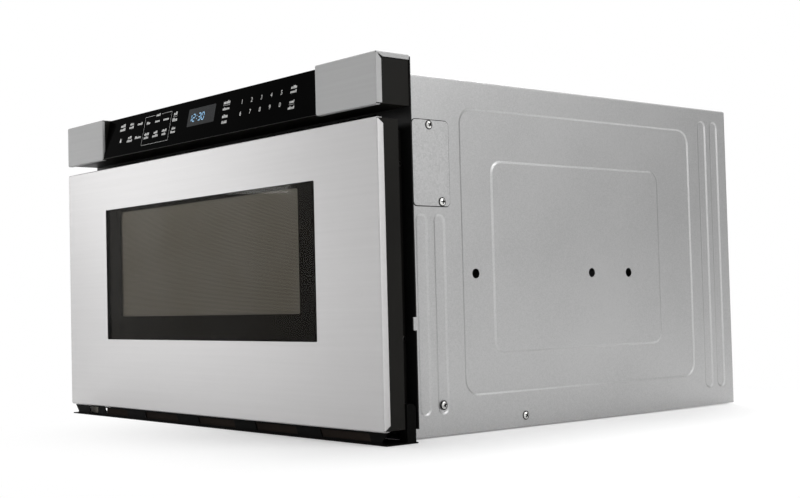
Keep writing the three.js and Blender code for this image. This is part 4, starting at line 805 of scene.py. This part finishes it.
bm = bmesh.new()
slab(bm, SLOT_BACKING, WALL_Y + WALL_SHEET, WALL_Y + WALL_SHEET + SLOT_BACKING_THICK, facing)
piece("trim_slot_backing", bm, slot_backing_brown, "black_plastic")

# %% [markdown]
# ## The end caps of the control head
# Each cap is one blank folded five times: back over the top, back under the bottom, round the side,
# down from the top at the side and in beside the glass. The two side flaps meet in a mitre, whose
# gap shows as a thin black line. A bevelled cube would have no such line.

# %% End caps
CAP = (265.5, 379.5, 380.8, 441)        # inner and outer side, foot and top
CAP_BEND, RETURN_BEND, CAP_DEPTH = 1.9, 1.5, 49.2
CAP_FLAP, CAP_TOP_FLAP, CAP_UNDER, CAP_RETURN = 8.2, 6, 6.5, 4
CAP_SHEET, MITRE_GAP = 0.9, 0.9


def end_cap(name, side, solid):
    inner, outer, low, high = CAP
    bm = bmesh.new()
    a, b, c, d = folded_plate(bm, inner + RETURN_BEND, outer - CAP_BEND, low + CAP_BEND,
                              high - CAP_BEND)
    fold(bm, a, b, -UPWARD, BACKWARD, CAP_BEND, CAP_UNDER)
    fold(bm, b, c, OUTWARD, BACKWARD, CAP_BEND, CAP_FLAP, (0, CAP_TOP_FLAP + MITRE_GAP))
    start, _, end, _ = fold(bm, c, d, UPWARD, BACKWARD, CAP_BEND, CAP_DEPTH)
    fold(bm, start, end, OUTWARD, -UPWARD, CAP_BEND, CAP_TOP_FLAP, (CAP_FLAP + MITRE_GAP, 0))
    fold(bm, d, a, LEFTWARD, BACKWARD, RETURN_BEND, CAP_RETURN)
    if side < 0:
        for vertex in bm.verts:
            vertex.co.x = -vertex.co.x
        bmesh.ops.reverse_faces(bm, faces=bm.faces)
    piece(name, bm, cap_steel, "stainless_steel", solid, sheet=CAP_SHEET, edge=0.12)


end_cap("end_cap_left", -1, "head_cap_left")
end_cap("end_cap_right", 1, "head_cap_right")

# %% [markdown]
# ## The window
# The pane is real glass of four millimetres, with its border printed on the back. A flat black
# frame would hide that depth: through glass, the edge of the print casts a line and the punched
# screen sits a step behind it. So the pane, the print and the screen are three pieces.

# %% Window pane and print
PANE = (-258.65, 258.65, 114.9, 305.3, 2)
PANE_FRONT, PANE_BACK = 0.6, 4.6
VIEW = (-220.4, 220.4, 148.1, 299.8, 3)
PRINT_FRONT, PRINT_THICK, PRINT_INSET = 4.75, 0.35, 0.4

bm = bmesh.new()
slab(bm, rounded(*PANE), PANE_FRONT, PANE_BACK, facing)
piece("window_pane", bm, clear_glass, "window_glass", "window_glass", edge=0.4, body="drawer")

bm = bmesh.new()
drawn_sheet(bm, [(grown(PANE, -PRINT_INSET), PRINT_FRONT)], [(grown(VIEW, 0), PRINT_FRONT)],
            facing)
piece("window_border_print", bm, window_print, "window_glass", sheet=PRINT_THICK, body="drawer")

# %% [markdown]
# ## The marks on the control glass
# The control glass leans back by twelve degrees and its marks are printed. An image could be laid
# on it; thin islands of ink, placed by one function that knows the lean, stay sharp at any size.
# Words are rows of tiny plain bars; only the plain figures and the clock are readable.

# %% Mark helpers
GLASS_LEAN = math.radians(12)
GLASS_FOOT = (0.8, 383)      # y and z of the glass's lower edge
INK = 0.05
LETTER_WIDTHS, LETTER_GAP, LETTER_TALLS = (0.38, 0.58), 0.22, (0.7, 0.72, 1.0)


def on_glass(x, z, height):
    """A point on the leaning glass; height is how far it stands off the surface."""
    y = GLASS_FOOT[0] + (z - GLASS_FOOT[1]) * math.tan(GLASS_LEAN)
    return place(x, y - height * math.cos(GLASS_LEAN), z + height * math.sin(GLASS_LEAN))


def bar(bm, x0, x1, z0, z1):
    slab(bm, box(x0, x1, z0, z1), INK, 0.0, on_glass)


def greeked(bm, x, z, letters, height, rng):
    """A word as a row of short plain bars, centred on x."""
    widths = [height * rng.uniform(*LETTER_WIDTHS) for _ in range(letters)]
    gap = height * LETTER_GAP
    start = x - (sum(widths) + gap * (letters - 1)) / 2
    for width in widths:
        tall = height * rng.choice(LETTER_TALLS)
        bar(bm, start, start + width, z - height / 2, z - height / 2 + tall)
        start += width + gap


# %% [markdown]
# The words' places and sizes are a table, so the layout can be changed without touching the code. A
# random generator with a fixed seed draws the letters, so every run gives the same marks. The
# rules, the frame round some keys and a small padlock are bars too.

# %% Key marks
S, L = 3.7, 4.6     # small and large letters
WORDS = (       # x, z, letters, height
    (-219.2, 427.1, 4, L), (-219.2, 421.4, 5, L), (-192.9, 426.9, 4, S), (-192.9, 422, 5, S),
    (-168.5, 424.4, 5, S), (-192.9, 407.1, 4, S), (-192.9, 402.2, 6, S), (-168.5, 404.7, 7, S),
    (-144, 422.4, 4, S), (-118.7, 422.4, 5, S), (-94.9, 422.4, 6, S), (-144, 406.3, 5, S),
    (-144, 401.4, 5, S), (-118.7, 406.3, 4, S), (-118.7, 401.4, 6, S), (-94.9, 406.3, 5, S),
    (-94.9, 401.4, 4, S), (-118.7, 431.2, 4, S), (-70.1, 427, 3, L), (-70.1, 418.4, 4, L),
    (-70.1, 406.4, 4, S), (-70.1, 401.3, 5, S), (60.6, 425.4, 5, L), (60.6, 416.9, 6, S),
    (60.6, 406.8, 4, L), (60.6, 398.8, 5, S), (210.7, 424.2, 5, S), (210.7, 418.6, 5, S),
    (210.7, 406, 4, S), (210.7, 398.3, 5, S))
RULES = ((-70.1, 422.7, 12.5), (60.6, 421.3, 16.3), (210.7, 402.2, 11.3))   # x, z, width
RULE = 0.3
FRAME_BOX, FRAME_GAP = (-154.8, -80.9, 390.7, 431.7), (-127.8, -110.2)
PADLOCK = ((-222, -217.6, 402.3, 405.8), (-221.4, -220.8, 405.8, 408),
           (-218.8, -218.2, 405.8, 408), (-220.8, -218.8, 407.4, 408))
SEED = 24
mark_white = grained("mark_white", "DCDCDA", "ECECEA", (0.40, 0.50), 3, 0.002)

rng = random.Random(SEED)
bm = bmesh.new()
for x, z, letters, height in WORDS:
    greeked(bm, x, z, letters, height, rng)
for x, z, width in RULES:
    bar(bm, x - width / 2, x + width / 2, z, z + RULE)
x0, x1, z0, z1 = FRAME_BOX
frame_bars = ((x0, x1, z0, z0 + RULE), (x0, x0 + RULE, z0 + RULE, z1),
              (x1 - RULE, x1, z0 + RULE, z1), (x0 + RULE, FRAME_GAP[0], z1 - RULE, z1),
              (FRAME_GAP[1], x1 - RULE, z1 - RULE, z1))
for ends in frame_bars + PADLOCK:
    bar(bm, *ends)
piece("key_marks", bm, mark_white, "control_glass")

# %% [markdown]
# The ten figures have to be read, so they come from Blender's own font. A text object would stay
# flat; turned into a mesh, its points can be laid on the leaning glass one by one.

# %% Key figures
FIGURE_SIZE = 8.2
FIGURE_COLUMNS = (97.3, 119.4, 141.4, 163.3, 185.2)
FIGURE_ROWS = ((420.6, "12345"), (405.1, "67890"))

bm = bmesh.new()
for row, line in FIGURE_ROWS:
    for x, figure in zip(FIGURE_COLUMNS, line):
        text = bpy.data.curves.new("figure", "FONT")
        text.body, text.size, text.extrude = figure, FIGURE_SIZE, INK / 2
        text.align_x, text.align_y = "CENTER", "CENTER"
        holder = bpy.data.objects.new("figure", text)
        flat = bpy.data.meshes.new_from_object(holder)
        for vertex in flat.vertices:
            vertex.co = on_glass(x + vertex.co.x, row + vertex.co.y, INK / 2 + vertex.co.z)
        bm.from_mesh(flat)
        bpy.data.objects.remove(holder)
        bpy.data.meshes.remove(flat)
piece("key_figures", bm, mark_white, "control_glass")

# %% [markdown]
# ## The clock
# The display is a dark grey window in the black glass with four lit figures of seven bars. A font
# could make them, but seven slanting bars are what such a display has. The bars glow, so their
# colour is on the emission socket.

# %% Clock
DISPLAY = (-33.8, 33.8, 403.2, 427.3, 1.0)
FIGURE_WIDE, FIGURE_TALL = 5.6, 9.4
BAR_WIDE, BAR_GAP, BAR_LEAN = 1.2, 0.35, 0.12
BARS = {"0": "abcdef", "1": "bc", "2": "abged", "3": "abgcd"}
CLOCK_X, CLOCK_Z = -10, 409.7
CLOCK = ((-20.5, "1"), (-11.9, "2"), (2.3, "3"), (10.9, "0"))
COLON_DOT, COLON_RISES = ((-1.8, 0), (-0.5, 0), (-0.4, 1.2), (-1.7, 1.2)), (2.2, 6.4)
LIT = 3 * INK       # the lit bars stand on the display, which is one ink thick

display_grey = grained("display_grey", "181A1C", "1F2224", (0.20, 0.28), 10, 0.002, specular=0.1)
clock_blue = finish("clock_blue", Base_Color=colour("2A4C66"), Roughness=0.4,
                    Emission_Strength=1.0)
glow = noise(clock_blue, millimetres(clock_blue), 2.5)
drive(clock_blue, "Emission Color", tones(clock_blue, glow, colour("6FA6CF"), colour("A4D2F2")))


def seven_bars(bm, x, z, figure):
    """One clock figure with its lower left corner at x, z."""
    wide, tall, half = FIGURE_WIDE, FIGURE_TALL, FIGURE_TALL / 2
    lines = {"a": (0, tall, wide, tall), "b": (wide, half, wide, tall), "c": (wide, 0, wide, half),
             "d": (0, 0, wide, 0), "e": (0, 0, 0, half), "f": (0, half, 0, tall),
             "g": (0, half, wide, half)}
    for name in BARS[figure]:
        a0, b0, a1, b1 = lines[name]
        way = Vector((a1 - a0, b1 - b0)).normalized()
        start, end = Vector((a0, b0)) + way * BAR_GAP, Vector((a1, b1)) - way * BAR_GAP
        across, tip = Vector((-way.y, way.x)) * BAR_WIDE / 2, way * BAR_WIDE / 2
        loop = [start, start + tip - across, end - tip - across, end, end - tip + across,
                start + tip + across]
        slab(bm, [(x + p.x + BAR_LEAN * p.y, z + p.y) for p in loop], LIT, INK, on_glass)


bm = bmesh.new()
slab(bm, rounded(*DISPLAY, steps=3), INK, 0.0, on_glass)
piece("display_window", bm, display_grey, "control_glass")
bm = bmesh.new()
for x, figure in CLOCK:
    seven_bars(bm, CLOCK_X + x, CLOCK_Z, figure)
for rise in COLON_RISES:
    slab(bm, [(CLOCK_X + a, CLOCK_Z + rise + b) for a, b in COLON_DOT], LIT, INK, on_glass)
piece("clock_figures", bm, clock_blue, "control_glass")

# %% [markdown]
# ## Small screws of the front
# Two black screws sit in each side of the inner panel, deep in the slot between the drawer and the
# flange. They could be modelled afresh, but the pan head only has to be called again, smaller and
# darker.

# %% Recess screws
PANEL_OUT, PANEL_SCREW_Y, PANEL_SCREW_RADIUS = 363, 44.5, 3.2

for number, z in enumerate((118, 317)):
    for side, hand in ((-1, "left"), (1, "right")):
        pan_head(f"panel_screw_{hand}_{number + 1}", place(side * PANEL_OUT, PANEL_SCREW_Y, z),
                 Vector((side, 0, 0)), PANEL_SCREW_RADIUS, screw_black, 0.4 + number,
                 slot="black_paint", body="drawer")

# %% [markdown]
# ## The studio's floor
# A white background could be had with more light, but that would bleach the oven. So the floor
# glows white, for the camera, mirrors and glass only. Near the oven it keeps most of its plain
# shading, and with it the soft shadow; that share fades with the distance from a rectangle at the
# oven's foot. Polished metal sees little of the glow, or it would be lit from below.

# %% Floor
FLOOR_SIZE = 30
FLOOR_PLAIN = 0.85      # share of the plain shading that is seen next to the oven
FLOOR_LEVEL = 0.92      # how bright the plain floor renders where nothing shades it
SHADE_MIDDLE, SHADE_HALF = (0.34, -0.08, 0), (0.12, 0.18, 0)
SHADOW_REACH = 0.5      # metres from there over which the plain shading fades out
MIRRORED = 0.05         # how much of the glow polished metal sees
FLOOR_CLOUD = 900


def floor_white():
    material = finish("floor_white", Roughness=0.9, Specular_IOR_Level=0.0,
                      Emission_Color=(1, 1, 1, 1))

    def vectors(operation, *inputs):
        return node(material, "VectorMath", dict(enumerate(inputs)), operation=operation).outputs

    spot = node(material, "TexCoord", {}).outputs["Object"]
    around = vectors("ABSOLUTE", vectors("SUBTRACT", spot, SHADE_MIDDLE)[0])[0]
    beyond = vectors("MAXIMUM", vectors("SUBTRACT", around, SHADE_HALF)[0], (0, 0, 0))[0]
    fade = {"Value": vectors("LENGTH", beyond)["Value"], "From Max": SHADOW_REACH,
            "To Min": FLOOR_PLAIN, "To Max": 0}
    plain = node(material, "MapRange", fade, interpolation_type="SMOOTHSTEP").outputs[0]
    paths = node(material, "LightPath", {}).outputs
    seen = maths(material, "MULTIPLY_ADD", paths["Is Glossy Ray"], MIRRORED, paths["Is Camera Ray"])
    seen = maths(material, "MAXIMUM", seen, paths["Is Transmission Ray"])
    cloud = noise(material, millimetres(material), FLOOR_CLOUD)
    paint = tones(material, cloud, colour("FAFAFA"), colour("FFFFFF"))
    hidden = maths(material, "MULTIPLY", seen, maths(material, "SUBTRACT", 1, plain))
    mixed = node(material, "Mix", {"Factor": hidden, 6: paint, 7: (0, 0, 0, 1)}, data_type="RGBA")
    drive(material, "Base Color", mixed.outputs[2])
    missing = maths(material, "MULTIPLY_ADD", plain, -FLOOR_LEVEL, 1)
    drive(material, "Emission Strength", maths(material, "MULTIPLY", seen, missing))
    return material


bm = bmesh.new()
bmesh.ops.create_grid(bm, x_segments=8, y_segments=8, size=FLOOR_SIZE / 2)
mesh_object("studio_floor", bm, floor_white())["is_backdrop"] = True
print("floor", FLOOR_SIZE, "m wide, plain share", FLOOR_PLAIN)

# %% [markdown]
# ## The lamps
# A lamp could be a sun or a point, but only one with a size gives soft shadows and highlights. A
# small low softbox at the front left is mirrored in the brushed front and makes its bright side. A
# larger one at the right lights the body's side. The strongest hangs overhead and a little behind,
# so the soft shadow falls forwards.

# %% Lamps
def softbox(name, spot, aim, width, height, watts):
    """A rectangular lamp at spot, turned towards aim; the camera doesn't see it."""
    lamp = bpy.data.lights.new(name, "AREA")
    lamp.shape, lamp.size, lamp.size_y, lamp.energy = "RECTANGLE", width, height, watts
    holder = add_object(name, lamp)
    holder.location = spot
    holder.rotation_mode = "QUATERNION"
    holder.rotation_quaternion = (Vector(aim) - Vector(spot)).to_track_quat("-Z", "Y")
    holder.visible_camera = False
    print(name, watts, "W")


softbox("softbox_front_left", (-1.25, -1.04, 0.50), (-0.06, -0.34, 0.3), 0.55, 0.14, 1.4)
softbox("softbox_right", (1.9, 0.4, 1.3), (0.35, -0.2, 0.3), 1.2, 1.0, 12)
softbox("softbox_top", (-0.5, 0.7, 2.4), (0, 0, 0.2), 1.6, 1.6, 54)

# %% [markdown]
# ## The room
# The world stands for a pale room, which gives plain surfaces one even level. In an even room metal
# looks like grey paint, so mirrored rays find one that is bright in front and overhead and dark at
# the back. A photograph of a studio could be wrapped round; a ramp of three greys needs no file.
# The camera and glass see plain white.

# %% World
ROOM = 0.5
MIRRORED_ROOM = ((-0.7, 0.85), (0.5, 0.72), (0.9, 0.02))    # level by y, from -1 in front to 1
MIRRORED_RISE = 0.9     # how much brighter it is straight overhead

world = bpy.data.worlds.new("studio_world")
world.use_nodes = True
bpy.context.scene.world = world
room = world.node_tree.nodes["Background"]
room.inputs["Color"].default_value = (1, 1, 1, 1)
paths = node(world, "LightPath", {}).outputs
way = node(world, "TexCoord", {}).outputs["Generated"]
compass = node(world, "SeparateXYZ", {"Vector": way}).outputs
ramp = node(world, "ValToRGB", {"Fac": ranged(world, compass["Y"], 0, 1, -1, 1)})
stops = ramp.color_ramp.elements
stops.new(0.5)
for stop, (y, level) in zip(stops, MIRRORED_ROOM):
    stop.position, stop.color = (y + 1) / 2, (level, level, level, 1)
risen = maths(world, "MULTIPLY_ADD", compass["Z"], MIRRORED_RISE, ramp.outputs["Color"])
polished = maths(world, "MINIMUM", risen, 1)
mirrored = ranged(world, paths["Is Glossy Ray"], ROOM, polished, 0, 1)
white = maths(world, "MAXIMUM", paths["Is Camera Ray"], paths["Is Transmission Ray"])
strength = maths(world, "MAXIMUM", mirrored, white)
world.node_tree.links.new(strength, room.inputs["Strength"])
bpy.context.scene.view_settings.view_transform = "Standard"
print("room light", ROOM, "and in mirrors", MIRRORED_ROOM)

# %% [markdown]
# ## The dressed size
# The dressed oven has to stay as large as its solids; its size is printed here.

# %% Dressed size
low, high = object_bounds()
print("dressed size", [round(side, 4) for side in high - low])
